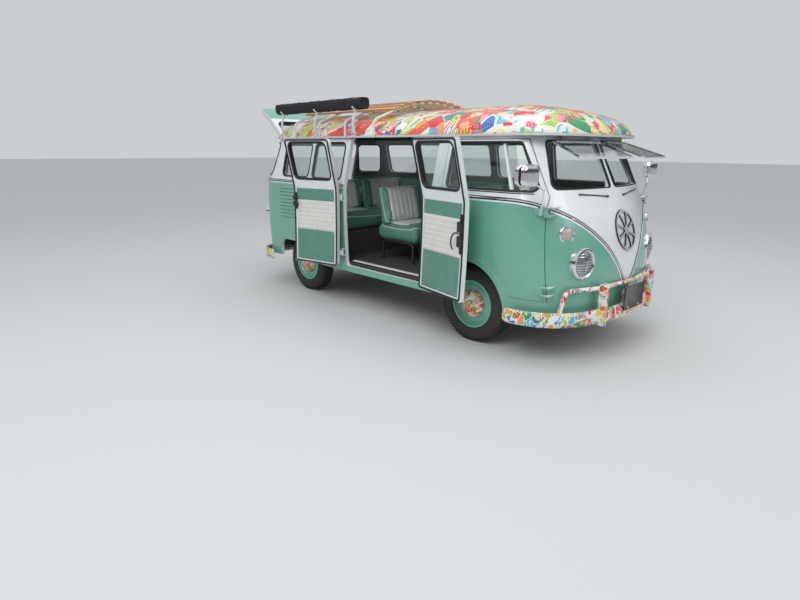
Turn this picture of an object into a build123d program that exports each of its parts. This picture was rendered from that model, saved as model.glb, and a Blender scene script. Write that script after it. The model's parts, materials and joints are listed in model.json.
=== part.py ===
from build123d import *
from collections import namedtuple
import math
import os

# Microbus with a split windscreen, its side doors, tailgate and windscreen frames standing open.
# Lengths are millimetres. While it is modelled, x points forward from the front axle, y to the left
# and z up from the ground. At the end everything moves so that the origin is on the ground under the
# middle of the whole bus, open doors included.

# Running gear
WHEELBASE = 2400
WHEEL_Y = 675               # middle plane of each wheel
TYRE_R = 325
TYRE_WIDTH = 160
RIM_R = 203
CAP_R = 118
DRUM_R = 130
KINGPIN_Y = 545
STEER_LIMIT = 28            # degrees each way at the knuckles

# Body shell
WALL = 40
GAP = 6                     # joint line round each door and lid
SILL_Z = 365
TAIL_X = -WHEELBASE - 760   # the body's rear end at the sill
BELT_Z = 1194
GUTTER_Z = 1675
ROOF_RISE = 250
ROOF_WALL = 25
GUTTER_THICK = 12
GUTTER_REACH = 20
GUTTER_LIP = 5
FIT = 0.3                   # clearance of pieces that seat in each other
CLEAR = 12                  # room between a moving piece and what stands beside it
HINGE_CLEAR = 60            # the same beside a cab door's front edge, which swings inwards
HINGE_CLEAR_X = 500         # where that deeper room begins

# Plan sections of the body at four heights
Section = namedtuple("Section", "z half_width nose_x nose_r nose_corner tail_x tail_corner")
LOWER_SECTIONS = [
    Section(SILL_Z, 838, 935, 1900, 400, TAIL_X, 240),
    Section(800, 858, 945, 1900, 420, TAIL_X - 22, 255),
    Section(BELT_Z, 862, 815, 2100, 350, TAIL_X, 270),
]
UPPER_SECTIONS = [
    LOWER_SECTIONS[-1],
    Section(GUTTER_Z, 745, 575, 2300, 260, TAIL_X + 140, 250),
]
ROOF_EDGE = Section(GUTTER_Z, 752, 690, 2300, 290, TAIL_X + 130, 255)
ROOF_LEVELS = (0.0, 0.42, 0.72, 0.91, 0.985)     # shares of the rise where the dome has a section
ROOF_NOSE_RUN = 800         # length over which the dome falls to the front lip
ROOF_TAIL_RUN = 560

# Side doorway and its two leaves, which stay on the right
DOORWAY_REAR_X = -1565
DOORWAY_FRONT_X = -395
DOORWAY_MIDDLE = (DOORWAY_REAR_X + DOORWAY_FRONT_X) / 2
DOORWAY_Z = (425, 1668)
LEAF_MEETING_GAP = 12
SIDE_HINGE_Y = 885
SIDE_HINGE_LEVELS = (560, 1110)
SIDE_DOOR_OPEN = 168        # degrees, as it stands

# Cab doors
CAB_REAR_X = -290
CAB_SEAM_LOW = (722, 490)
CAB_SEAM_BELT = (648, 1245)
CAB_SEAM_TOP = (432, 1655)
CAB_STEP_Z = 713            # lower edge behind the wheel arch
CAB_HINGE = (690, 806)
CAB_HINGE_LEVELS = (575, 1150)
HANDLE_X = (-245, -125)     # the lever handle of a cab door
HANDLE_Z = 1128
HANDLE_STAND_OFF = 30
HANDLE_R = 7

# Outside hinges: a fixed pin between two lugs, and an eye on the door that turns on it
PIN_R = 5
EYE_R = 10
EYE_HALF = 24               # half the height of the door's eye
LUG_HEIGHT = 12
STRAP_THICK = 12
STRAP_LENGTH = 70

# Wheel arches
FRONT_ARCH_R = 385
ARCH_LIP = 45
REAR_ARCH_TOP = 565
REAR_ARCH_HALF = 390
REAR_ARCH_CORNER = 110

# Windows: side windows share their heights
WINDOW_Z = (1278, 1628)
WINDOW_CORNER = 55
GLASS = 6
GLASS_INSET = 17
SideWindow = namedtuple("SideWindow", "rear_x front_x")
REAR_WINDOWS_X = (TAIL_X + 470, DOORWAY_REAR_X - 70)     # the two windows behind the doorway
REAR_POST_X = sum(REAR_WINDOWS_X) / 2
HALF_POST = 32.5
LEAF_EDGE = (50, 45)                             # from a leaf's hinge and free edge to its window
SIDE_WINDOWS = [
    SideWindow(REAR_WINDOWS_X[0], REAR_POST_X - HALF_POST),
    SideWindow(REAR_POST_X + HALF_POST, REAR_WINDOWS_X[1]),
    SideWindow(DOORWAY_REAR_X + LEAF_EDGE[0], DOORWAY_MIDDLE - LEAF_EDGE[1]),
    SideWindow(DOORWAY_MIDDLE + LEAF_EDGE[1], DOORWAY_FRONT_X - LEAF_EDGE[0]),
]
CORNER_WINDOW_SPAN = (20, 74)                    # degrees round each rear corner, from the side
VENT_DIVIDER_X = (394, 246)                      # at the foot and the head of the cab window
VENT_DIVIDER_HALF = 10
VENT_DIVIDER_INSET = 8

# Air scoops pressed out of both rear quarters
LOUVRE_X = (TAIL_X + 425, TAIL_X + 705)
LOUVRE_Z = 832
LOUVRE_PITCH = 39
LOUVRE_COUNT = 9
LOUVRE_R = 13
LOUVRE_WALL = 2.5
LOUVRE_DEPTH = 25

# Tail
TAILGATE_HALF = 520
TAILGATE_Z = (955, 1648)
TAILGATE_CORNER = 90
TAILGATE_OPEN = 114
TAILGATE_CORNER_WINDOW = 70                      # from the gate's edge to its window, and its corner
TAILGATE_HINGE = (TAIL_X + 98, 1661)
LID_HINGE = (TAIL_X - 44, 916)
TAIL_HINGE_Y = 300
TAIL_SPLIT_X = TAIL_X + 360
TAIL_CUT_X = (TAIL_X - 240, TAIL_SPLIT_X)
LID_HALF = 400
LID_Z = (560, 905)
LID_CORNER = 60
LID_HANDLE_Z = LID_Z[0] + 60
LID_HANDLE_R = 16

# Windscreen
SCREEN_Z = (1300, 1640)
SCREEN_INNER_Y = 26
SCREEN_OUTER_Y = (680, 605)                      # at the foot and the head
SCREEN_OPEN = 49                                 # degrees that the two frames stand open
SCREEN_HINGE = (626, 1632)
SCREEN_SWEEP = 8                                 # degrees that each pane turns back from the middle
FRAME_BAR = 18
SCREEN_LUG_Y = (140, 460)
NOSE_SPLIT_X = -330                              # where the nose and cab frame meets the sides

# Floors
CAB_FLOOR_Z = 500
LOAD_FLOOR_Z = 450
FLOOR_THICK = 25
WHEEL_BOX_Y = 400
WHEEL_BOX_TOP = 720
REAR_DECK_Z = 950
REAR_STEP_X = -WHEELBASE + 530
REAR_BOX_Z = 715
REAR_WALL_X = -WHEELBASE - 15
REAR_WELL_Y = 560
ENGINE_ROOM_X = -WHEELBASE - 395

# The seat box leaves room behind the wheels when they are steered fully
TYRE_CHORD = math.sqrt(TYRE_R ** 2 - (LOAD_FLOOR_Z - FLOOR_THICK - TYRE_R) ** 2)
STEERED_REACH = (TYRE_CHORD * math.cos(math.radians(STEER_LIMIT))
                 + (WHEEL_Y - KINGPIN_Y + TYRE_WIDTH / 2) * math.sin(math.radians(STEER_LIMIT)))
SEAT_BOX_X = (-STEERED_REACH - 5 - FLOOR_THICK, 420)

# Bumpers
BUMPER_Z = (312, 425)
BUMPER_STAND_OFF = 72
BUMPER_THICK = 8
BUMPER_CROWN = 8
BUMPER_REACH = BUMPER_STAND_OFF + BUMPER_CROWN + BUMPER_THICK
BladeRow = namedtuple("BladeRow", "share bulge")   # share of the blade's height, bulge beyond the stand-off
BLADE_ROWS = [
    BladeRow(0.0, -5),
    BladeRow(0.16, 4.5),
    BladeRow(0.5, BUMPER_CROWN),
    BladeRow(0.84, 4.5),
    BladeRow(1.0, -5),
]
BUMPER_END_X = 440
BUMPER_END_CORNER = 42
BUMPER_ARM_Y = (380, 420)
ARM_Z = (338, SILL_Z - FIT)                      # the arms seat under the body's lower edge
BUMPER_TUBE_R = 17
BUMPER_TUBE_Z = 585
TUBE_FOOT_Y = 745
OVERRIDER_Y = 403
OVERRIDER_Z = (300, 618)
OVERRIDER_WIDTH = 62

# Lamps
HEADLIGHT_AT = (872, 556, 774)
HEADLIGHT_R = 104
HEADLIGHT_RIM = 119
HEADLIGHT_LENS = 96
HEADLIGHT_TURN = 10
HEADLIGHT_BACK = 90
GUARD_DOME = 30             # how far the guard bulges over its rim
GUARD_THICK = 4
GUARD_SLATS = 9
GUARD_PITCH = 19
SIGNAL_AT = (770, 658, 990)
SIGNAL_R = 64
SIGNAL_LENS = 51
SIGNAL_TURN = 28
TAIL_LAMP_Y = (690, 720)    # at its root and its face
TAIL_LAMP_Z = 830
TAIL_LAMP_R = 52
BADGE_Z = 976
BADGE_R = 153
BADGE_RING = 15
BADGE_HUB = 34
BADGE_SPOKES = 8
BADGE_THICK = 13

# Mirrors and wipers
MIRROR_HEAD = (612, 985, 1405)
MIRROR_SIZE = (200, 150, 45)                     # width, height and corner
MIRROR_DEPTH = 30
MIRROR_ARM_R = 6
MIRROR_FOOT_X = (638, 662)
WIPER_ROOT = (798, 130, 1235)
WIPER_TIP = (738, 470, 1262)
WIPER_R = 5

# Cabin
Bench = namedtuple("Bench", "rear_x front_x right_y left_y floor_z top_z back_top back_depth lean")
BENCHES = {
    "bench_front": Bench(-345, 150, -640, 640, WHEEL_BOX_TOP + FLOOR_THICK, 920.3, 1275, 105, 40),
    "bench_middle": Bench(DOORWAY_REAR_X + 5, -940, -480, 700, LOAD_FLOOR_Z, 835, 1215, 125, 95),
    "bench_rear": Bench(REAR_WALL_X + 10, REAR_STEP_X + 30, -690, 690, REAR_BOX_Z, 890.3, 1245, 115, 60),
}
CUSHION = 175
CUSHION_CORNER = 45
BACK_TAPER = 0.8            # depth of a back at its head as a share of the depth at its foot
BACK_CORNER = 35
DASH_X = (500, 800)
DASH_Z = (1110, 1215, 1240)                      # foot of the panel, underside and top of the shelf
DASH_PANEL = 30
STEERING_Y = 370
COLUMN_FOOT = (560, STEERING_Y, CAB_FLOOR_Z + FLOOR_THICK + FIT)
STEERING_HUB = (270, STEERING_Y, 1105)
STEERING_R = 200
HUB_DEPTH = 26

# Roof load
RACK_X = (TAIL_X + 560, -1130)
RACK_TUBE_R = 11
RACK_HALF = 560                                  # half width of the arched top
RACK_TOP_Z = (1912, 2012)                        # height of the bows at that half width and in the middle
RACK_BEND_R = 60
RACK_BOWS = 4
RACK_BOW_EDGE = (120, 60)                        # from the slats' ends to the first and the last bow
RACK_SLATS = 11
SLAT_HALF = 28
SLAT_THICK = 18
SLAT_SEAT = 2                                    # how far a slat is let into the bows
AWNING_X = (TAIL_X + 300, -1370)
AWNING_Y = -735
AWNING_Z = 1990
AWNING_R = 62
AWNING_LEG = (28, 12)                            # width and thickness of a leg
AWNING_LEG_BOW = 26

# Axles and chassis
FRONT_TUBE_X = 135
AXLE_PLATE = (42, 36)
FRONT_AXLE = (0, TYRE_R)
REAR_AXLE = (-WHEELBASE, TYRE_R)
HUB_BOSS_R = 45
HUB_FACE_Y = WHEEL_Y + TYRE_WIDTH / 2 - 34 - FIT     # where a hub meets the wheel's disc
RAIL_Y = (330, 390)
RAIL_DEPTH = 90
GEARBOX_X = (-WHEELBASE - 210, -WHEELBASE + 300)
ENGINE_X = TAIL_X + 100
ENGINE_Z = (300, 745)
ENGINE_HALF = 290
MUFFLER_R = 58
JACK_X = (REAR_STEP_X + 30, -560)
JACK_Z = 352
CROSS_MEMBERS = 4
PLATE_HOLES = 178           # between the two bolts of the number plate
PLATE_HOLE_R = 3.5
PLATE_Z = 388
PLATE_MARGIN = 16                                # from the middle of a hole to the bracket's edge

PARTS = "parts"


def box(x, y, z):
    """A block from three pairs of limits."""
    size = [high - low for low, high in (x, y, z)]
    return Pos(x[0], y[0], z[0]) * Box(*size, align=(Align.MIN, Align.MIN, Align.MIN))


def rod(start, end, radius):
    """A round bar between two points."""
    way = Vector(end) - Vector(start)
    plane = Plane(origin=Vector(start), z_dir=way)
    return plane * Cylinder(radius, way.length, align=(Align.CENTER, Align.CENTER, Align.MIN))


def plan_points(s, inset):
    """Named corner points of one plan section, moved in by the inset."""
    width = s.half_width - inset
    nose = s.nose_x - inset
    big, small = s.nose_r - inset, s.nose_corner - inset
    middle_x = nose - big
    corner_x = middle_x + math.sqrt((big - small) ** 2 - (width - small) ** 2)
    corner_y = width - small
    turn = math.atan2(corner_y, corner_x - middle_x)
    half_turn = (turn + math.pi / 2) / 2
    tail = s.tail_x + inset
    tail_r = s.tail_corner - inset
    slant = tail_r * math.sqrt(0.5)
    return {
        "nose": (nose, 0),
        "join": (middle_x + big * math.cos(turn), big * math.sin(turn)),
        "corner": (corner_x + small * math.cos(half_turn), corner_y + small * math.sin(half_turn)),
        "side_front": (corner_x, width),
        "side_rear": (tail + tail_r, width),
        "tail_corner": (tail + tail_r - slant, width - tail_r + slant),
        "tail": (tail, width - tail_r),
    }


def plan_wire(s, inset=0.0, z=None):
    """Closed plan outline of a section: nose arc, corner arcs, straight sides and tail."""
    height = s.z if z is None else z
    left = {k: Vector(x, y, height) for k, (x, y) in plan_points(s, inset).items()}
    right = {k: Vector(p.X, -p.Y, p.Z) for k, p in left.items()}
    arc = Edge.make_three_point_arc
    return Wire([
        arc(right["join"], left["nose"], left["join"]),
        arc(left["join"], left["corner"], left["side_front"]),
        Edge.make_line(left["side_front"], left["side_rear"]),
        arc(left["side_rear"], left["tail_corner"], left["tail"]),
        Edge.make_line(left["tail"], right["tail"]),
        arc(right["tail"], right["tail_corner"], right["side_rear"]),
        Edge.make_line(right["side_rear"], right["side_front"]),
        arc(right["side_front"], right["corner"], right["join"]),
    ])


def body_solid(inset=0.0):
    """The closed body between sill and gutter, every wall moved in by the inset."""
    lower = Solid.make_loft([plan_wire(s, inset) for s in LOWER_SECTIONS])
    upper = Solid.make_loft([plan_wire(s, inset) for s in UPPER_SECTIONS], ruled=True)
    return lower + upper


def side_prism(outline, side, near=500, far=1000):
    """An outline in x and z run through one side wall; side is 1 for left, -1 for right."""
    face = outline if isinstance(outline, Sketch) else Sketch(outline)
    plane = Plane.XZ
    depth = far - near
    solid = extrude(plane * face, amount=depth, dir=(0, 1, 0))
    return Pos(0, near if side > 0 else -far, 0) * solid


def rounded(x, z, corner):
    """Rounded rectangle sketch from limits in the two axes of its plane."""
    centre = ((x[0] + x[1]) / 2, (z[0] + z[1]) / 2)
    return Pos(*centre) * RectangleRounded(x[1] - x[0], z[1] - z[0], corner)


def polygon(points, corner=0.0):
    """Closed outline through points, with every corner rounded."""
    face = make_face(Polyline(*points, close=True))
    if corner:
        face = fillet(face.vertices(), corner)
    return face


# Wheel arches, doors and windows as outlines in the side view

def front_arch(radius):
    return Pos(FRONT_AXLE[0], FRONT_AXLE[1]) * Circle(radius)


def rear_arch():
    half = REAR_ARCH_HALF
    return rounded((-WHEELBASE - half, -WHEELBASE + half), (SILL_Z - 300, REAR_ARCH_TOP), REAR_ARCH_CORNER)


def cab_door_outline(inset=0.0):
    low, belt, top = CAB_SEAM_LOW, CAB_SEAM_BELT, CAB_SEAM_TOP
    points = [
        (CAB_REAR_X + inset, CAB_STEP_Z + inset),
        (CAB_REAR_X + inset, top[1] - inset),
        (top[0] - inset, top[1] - inset),
        (belt[0] - inset, belt[1]),
        (low[0] - inset, low[1] + inset),
        (0, low[1] + inset),
        (0, CAB_STEP_Z + inset),
    ]
    return polygon(points) - front_arch(FRONT_ARCH_R + ARCH_LIP + inset)


def cab_window(inset=0.0):
    foot, head = WINDOW_Z[0] + 8 + inset, WINDOW_Z[1] - inset
    belt, top = CAB_SEAM_BELT, CAB_SEAM_TOP
    points = [
        (CAB_REAR_X + 52 + inset, foot),
        (CAB_REAR_X + 52 + inset, head),
        (top[0] - 42 - inset, head),
        (belt[0] - 58 - inset, foot),
    ]
    return polygon(points, 30)


def vent_divider(half):
    """The slanting bar between the vent wing and the sliding pane of a cab window."""
    foot, head = VENT_DIVIDER_X
    low, high = WINDOW_Z
    return polygon([(foot - half, low), (foot + half, low), (head + half, high), (head - half, high)])


def side_window(row, inset=0.0):
    x = (row.rear_x + inset, row.front_x - inset)
    return rounded(x, (WINDOW_Z[0] + inset, WINDOW_Z[1] - inset), WINDOW_CORNER)


def doorway(inset=0.0):
    x = (DOORWAY_REAR_X + inset, DOORWAY_FRONT_X - inset)
    return rounded(x, (DOORWAY_Z[0] + inset, DOORWAY_Z[1] - inset), 40)


def leaf_outline(front):
    middle = (DOORWAY_REAR_X + DOORWAY_FRONT_X) / 2
    half_gap = LEAF_MEETING_GAP / 2
    x = (middle + half_gap, DOORWAY_FRONT_X) if front else (DOORWAY_REAR_X, middle - half_gap)
    cut = rounded(x, DOORWAY_Z, 0.5)
    return doorway(GAP) & cut


def tail_prism(half, z, corner, inset=0.0):
    """Rounded outline in y and z run through the tail wall."""
    face = rounded((-half + inset, half - inset), (z[0] + inset, z[1] - inset), corner)
    start, end = TAIL_CUT_X
    return Pos(start, 0, 0) * extrude(Plane.YZ * face, amount=end - start, dir=(1, 0, 0))


def screen_outline(side, inset=0.0):
    """One windscreen opening in y and z."""
    points = [
        (side * (SCREEN_INNER_Y + inset), SCREEN_Z[0] + inset),
        (side * (SCREEN_OUTER_Y[0] - inset), SCREEN_Z[0] + inset),
        (side * (SCREEN_OUTER_Y[1] - inset), SCREEN_Z[1] - inset),
        (side * (SCREEN_INNER_Y + inset), SCREEN_Z[1] - inset),
    ]
    return polygon(points, 34)


def corner_window_prism(side, inset=0.0):
    """A wedge round one rear corner at window height, rounded at its ends."""
    centre = (UPPER_SECTIONS[1].tail_x + 250, side * (UPPER_SECTIONS[1].half_width - 250))
    first, last = CORNER_WINDOW_SPAN
    reach = 600
    middle = math.radians((first + last) / 2)
    half = math.radians((last - first) / 2)
    width = 2 * 300 * math.tan(half) - 2 * inset
    face = rounded((-width / 2, width / 2), (WINDOW_Z[0] + inset, WINDOW_Z[1] - inset), WINDOW_CORNER)
    out = (-math.sin(middle), side * math.cos(middle), 0)
    plane = Plane(origin=(*centre, 0), x_dir=(-out[1], out[0], 0), z_dir=out)
    if abs(plane.y_dir.Z - 1) > 0.01:
        plane = Plane(origin=(*centre, 0), x_dir=(out[1], -out[0], 0), z_dir=out)
    return extrude(plane * face, amount=reach)


# Body panels

OUTER = body_solid()
INNER = body_solid(WALL)
SHELL = OUTER - INNER


def window_cuts(inset=0.0):
    """Every fixed window as a prism, by name."""
    cuts = {}
    for i, row in enumerate(SIDE_WINDOWS):
        cuts[f"left_{i}"] = side_prism(side_window(row, inset), 1)
    for i, row in enumerate(SIDE_WINDOWS[:2]):
        cuts[f"right_{i}"] = side_prism(side_window(row, inset), -1)
    for name, side in (("left", 1), ("right", -1)):
        cuts[f"corner_{name}"] = corner_window_prism(side, inset)
    return cuts


def screen_prism(side, inset=0.0):
    return Pos(300, 0, 0) * extrude(Plane.YZ * screen_outline(side, inset), amount=700, dir=(1, 0, 0))


def opened_shell():
    """The shell with its doorways, windows, arches and lids cut out."""
    shell = SHELL
    for side in (1, -1):
        shell -= side_prism(cab_door_outline(), side)
        shell -= side_prism(front_arch(FRONT_ARCH_R), side)
        shell -= side_prism(rear_arch(), side)
        shell -= screen_prism(side)
    shell -= side_prism(doorway(), -1)
    for cut in window_cuts().values():
        shell -= cut
    shell -= tail_prism(TAILGATE_HALF, TAILGATE_Z, TAILGATE_CORNER)
    shell -= tail_prism(LID_HALF, LID_Z, LID_CORNER)
    for lamp in headlight_bodies(0.0, GUARD_DOME):
        shell -= lamp
    return shell


def louvres(side):
    """A column of air scoops: what each adds to the wall, and the slot cut under it."""
    hoods, slots = [], []
    wall_y = LOWER_SECTIONS[1].half_width
    for i in range(LOUVRE_COUNT):
        z = LOUVRE_Z + LOUVRE_PITCH * i
        axis_y = side * (wall_y - LOUVRE_WALL)
        out_y = sorted((side * (wall_y - LOUVRE_R), side * (wall_y + 2 * LOUVRE_R)))
        upper = box(LOUVRE_X, out_y, (z, z + 2 * LOUVRE_R))
        inner_x = (LOUVRE_X[0] + LOUVRE_WALL, LOUVRE_X[1] - LOUVRE_WALL)
        outer = rod((LOUVRE_X[0], axis_y, z), (LOUVRE_X[1], axis_y, z), LOUVRE_R)
        hollow = rod((inner_x[0], axis_y, z), (inner_x[1], axis_y, z), LOUVRE_R - LOUVRE_WALL)
        hoods.append((outer & upper) - hollow)
        slot_y = sorted((side * (wall_y - LOUVRE_DEPTH), side * (wall_y + LOUVRE_R)))
        slots.append(box(inner_x, slot_y, (z - LOUVRE_R / 2, z + LOUVRE_R / 2)))
    return hoods, slots


def with_louvres(panel, side):
    hoods, slots = louvres(side)
    for slot in slots:
        panel -= slot
    for hood in hoods:
        panel += hood
    return panel


def lamp_plane(at, turn, side):
    """Plane at a front lamp, facing forward and turned outwards."""
    angle = math.radians(turn * side)
    out = (math.cos(angle), math.sin(angle), 0)
    return Plane(origin=(at[0], side * at[1], at[2]), z_dir=out)


def headlight_bodies(clearance, front):
    """The round bodies of the two headlights, which pass through the nose."""
    shapes = []
    for side in (1, -1):
        plane = lamp_plane(HEADLIGHT_AT, HEADLIGHT_TURN, side)
        disc = extrude(Circle(HEADLIGHT_R - clearance), amount=HEADLIGHT_BACK + front)
        shapes.append(plane * Pos(0, 0, -HEADLIGHT_BACK) * disc)
    return shapes


def body_panels():
    shell = opened_shell()
    far = 4000
    nose_side = box((NOSE_SPLIT_X, far), (-far, far), (0, far))
    middle = box((TAIL_SPLIT_X, NOSE_SPLIT_X), (0, far), (0, far))
    tail = box((-far, TAIL_SPLIT_X), (-far, far), (0, far))
    nose = shell & nose_side
    for side in (1, -1):
        for level in CAB_HINGE_LEVELS:
            nose += cab_hinge_lugs(side, level)
    right = shell & mirror(middle, about=Plane.XZ)
    for level in SIDE_HINGE_LEVELS:
        right += side_hinge_lugs(True, level)
        right += side_hinge_lugs(False, level)
    rear = shell & tail
    for hinge in (TAILGATE_HINGE, LID_HINGE):
        for y in (-TAIL_HINGE_Y, TAIL_HINGE_Y):
            rear += level_hinge(hinge, y)[1]
    return {
        "nose_panel": nose,
        "side_left": with_louvres(shell & middle, 1),
        "side_right": with_louvres(right, -1),
        "tail_panel": rear,
    }


def roof():
    """Domed skin over the gutter plate, which reaches forward as a peak over the windscreen."""
    def dome(inset):
        wires = []
        for level in ROOF_LEVELS:
            keep = math.sqrt(1 - level ** 2)
            gone = 1 - keep
            s = ROOF_EDGE
            row = Section(0, s.half_width * keep, s.nose_x - ROOF_NOSE_RUN * gone, s.nose_r * keep,
                          s.nose_corner * keep, s.tail_x + ROOF_TAIL_RUN * gone, s.tail_corner * keep)
            z = GUTTER_Z + GUTTER_THICK + (ROOF_RISE - inset) * level
            wires.append(plan_wire(row, inset * keep, z))
        return Solid.make_loft(wires)

    skin = dome(0) - dome(ROOF_WALL)
    rim = Solid.extrude(Face(plan_wire(ROOF_EDGE, -GUTTER_REACH, GUTTER_Z)), Vector(0, 0, GUTTER_THICK))
    inside = Face(plan_wire(UPPER_SECTIONS[1], WALL, GUTTER_Z - 1))
    hole = Solid.extrude(inside, Vector(0, 0, GUTTER_THICK + 2))
    lip = Solid.extrude(Face(plan_wire(ROOF_EDGE, -GUTTER_REACH, GUTTER_Z)), Vector(0, 0, 2 * GUTTER_THICK))
    within_lip = Face(plan_wire(ROOF_EDGE, GUTTER_LIP - GUTTER_REACH, GUTTER_Z))
    lip -= Solid.extrude(within_lip, Vector(0, 0, 3 * GUTTER_THICK))
    return skin + (rim - hole) + lip


# Doors and lids

def side_leaf(front):
    """One leaf of the side doorway as it hangs when shut, and the same with its window cut."""
    leaf = SHELL & side_prism(leaf_outline(front), -1)
    row = SIDE_WINDOWS[3] if front else SIDE_WINDOWS[2]
    return leaf - side_prism(side_window(row), -1)


def side_hinge(front):
    return (DOORWAY_FRONT_X if front else DOORWAY_REAR_X, -SIDE_HINGE_Y)


def swing(shape, pivot, degrees):
    """Turn a shape about an upright axis through a point in plan."""
    return Pos(*pivot, 0) * Rot(0, 0, degrees) * Pos(-pivot[0], -pivot[1], 0) * shape


def side_leaf_angle(front):
    return SIDE_DOOR_OPEN if front else -SIDE_DOOR_OPEN


def glass_layer():
    """The thin layer of the body in which the curved panes lie."""
    return body_solid(GLASS_INSET) - body_solid(GLASS_INSET + GLASS)


GLASS_LAYER = glass_layer()


def hinge_arm(axis, foot_x, side, z, solid):
    """A flat arm from the hinge axis to a foot that stands on the skin, in plan."""
    x, y = axis
    outer = y + EYE_R
    reach = sorted((x, *foot_x))
    arm = box((reach[0], reach[-1]), (outer - STRAP_THICK, outer), z)
    foot = box(sorted(foot_x), (outer - 160, outer), z) - solid
    shape = arm + max(foot.solids(), key=lambda s: s.center().Y)
    return shape if side > 0 else mirror(shape, about=Plane.XZ)


def hinge_eye(axis, side, level):
    """The tube on the door that turns on the pin."""
    at = Pos(axis[0], side * axis[1], level)
    return at * Cylinder(EYE_R, 2 * EYE_HALF)


def hinge_bore(axis, side, level):
    return Pos(axis[0], side * axis[1], level) * Cylinder(PIN_R + FIT, 4 * EYE_HALF)


def door_strap(axis, foot_x, side, level):
    """The moving half of a hinge: arm, foot and bored eye."""
    z = (level - EYE_HALF, level + EYE_HALF)
    arm = hinge_arm(axis, foot_x, side, z, OUTER)
    return arm + hinge_eye(axis, side, level) - hinge_bore(axis, side, level)


def fixed_lugs(axis, foot_x, side, level):
    """The fixed half of a hinge: two lugs above and below the eye, and the pin through them."""
    shape = Pos(axis[0], side * axis[1], level) * Cylinder(PIN_R, 2 * (EYE_HALF + FIT + LUG_HEIGHT))
    for low in (level - EYE_HALF - FIT - LUG_HEIGHT, level + EYE_HALF + FIT):
        z = (low, low + LUG_HEIGHT)
        shape += hinge_arm(axis, foot_x, side, z, OUTER)
        shape += Pos(axis[0], side * axis[1], low + LUG_HEIGHT / 2) * Cylinder(EYE_R, LUG_HEIGHT)
    return shape


def side_hinge_strap(front, level):
    x = side_hinge(front)[0]
    inward = -1 if front else 1
    foot = (x + inward * 2 * GAP, x + inward * STRAP_LENGTH)
    return door_strap((x, SIDE_HINGE_Y), foot, -1, level)


def side_hinge_lugs(front, level):
    x = side_hinge(front)[0]
    outward = 1 if front else -1
    foot = (x + outward * GAP, x + outward * (STRAP_LENGTH - 20))
    return fixed_lugs((x, SIDE_HINGE_Y), foot, -1, level)


def seam_x(level):
    """Where the cab door's front seam is at a height."""
    low, belt = CAB_SEAM_LOW, CAB_SEAM_BELT
    share = (level - low[1]) / (belt[1] - low[1])
    return low[0] + share * (belt[0] - low[0])


def cab_hinge_strap(side, level):
    x = seam_x(level)
    return door_strap(CAB_HINGE, (x - STRAP_LENGTH, x - 3 * GAP), side, level)


def cab_hinge_lugs(side, level):
    x = seam_x(level)
    reach = (x + 2 * GAP, max(x + STRAP_LENGTH - 20, CAB_HINGE[0] + 2 * EYE_R))
    return fixed_lugs(CAB_HINGE, reach, side, level)


def make_side_leaf(front):
    leaf = side_leaf(front)
    for level in SIDE_HINGE_LEVELS:
        leaf += side_hinge_strap(front, level)
    return swing(leaf, side_hinge(front), side_leaf_angle(front))


def make_side_glass(front):
    row = SIDE_WINDOWS[3] if front else SIDE_WINDOWS[2]
    pane = GLASS_LAYER & side_prism(side_window(row, FIT), -1)
    return swing(pane, side_hinge(front), side_leaf_angle(front))


def cab_handle(side):
    """Lever handle on two posts near the door's rear edge."""
    wall_y = LOWER_SECTIONS[2].half_width
    out_y = side * (wall_y + HANDLE_STAND_OFF)
    handle = rod((HANDLE_X[0], out_y, HANDLE_Z), (HANDLE_X[1], out_y, HANDLE_Z), HANDLE_R)
    for x in (HANDLE_X[0] + 2 * HANDLE_R, HANDLE_X[1] - 2 * HANDLE_R):
        handle += rod((x, side * (wall_y - CLEAR), HANDLE_Z), (x, out_y, HANDLE_Z), HANDLE_R)
    return handle


def cab_door(side):
    if side < 0:
        return mirror(cab_door(1), about=Plane.XZ)
    door = SHELL & side_prism(cab_door_outline(GAP), side)
    door -= side_prism(cab_window(), side)
    outline = vent_divider(VENT_DIVIDER_HALF) & cab_window(-1)
    bar = side_prism(outline, side) & body_solid(VENT_DIVIDER_INSET)
    door += bar - body_solid(WALL - VENT_DIVIDER_INSET)
    door += cab_handle(side)
    for level in CAB_HINGE_LEVELS:
        door += cab_hinge_strap(side, level)
    return door


def cab_glass(side):
    """The vent wing's pane and the sliding pane, parted by the bar."""
    outline = cab_window(FIT) - vent_divider(VENT_DIVIDER_HALF + FIT)
    return (GLASS_LAYER & side_prism(outline, side)).solids()


def door_room():
    """Space inside the body that the doors need, to keep floors and dashboard clear of them."""
    def beside(prism, depth):
        return (prism & INNER) - body_solid(WALL + depth)

    front = box((HINGE_CLEAR_X, 1000), (-1000, 1000), (0, GUTTER_Z))
    room = beside(side_prism(doorway(-CLEAR), -1), CLEAR)
    for side in (1, -1):
        prism = side_prism(cab_door_outline(-GAP), side)
        room += beside(prism, CLEAR)
        room += beside(prism & front, HINGE_CLEAR)
    return room


DOOR_ROOM = door_room()


def lift(shape, hinge, degrees):
    """Turn a shape about a level axis across the body; the lower edge moves back and up."""
    x, z = hinge
    return Pos(x, 0, z) * Rot(0, degrees, 0) * Pos(-x, 0, -z) * shape


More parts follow.
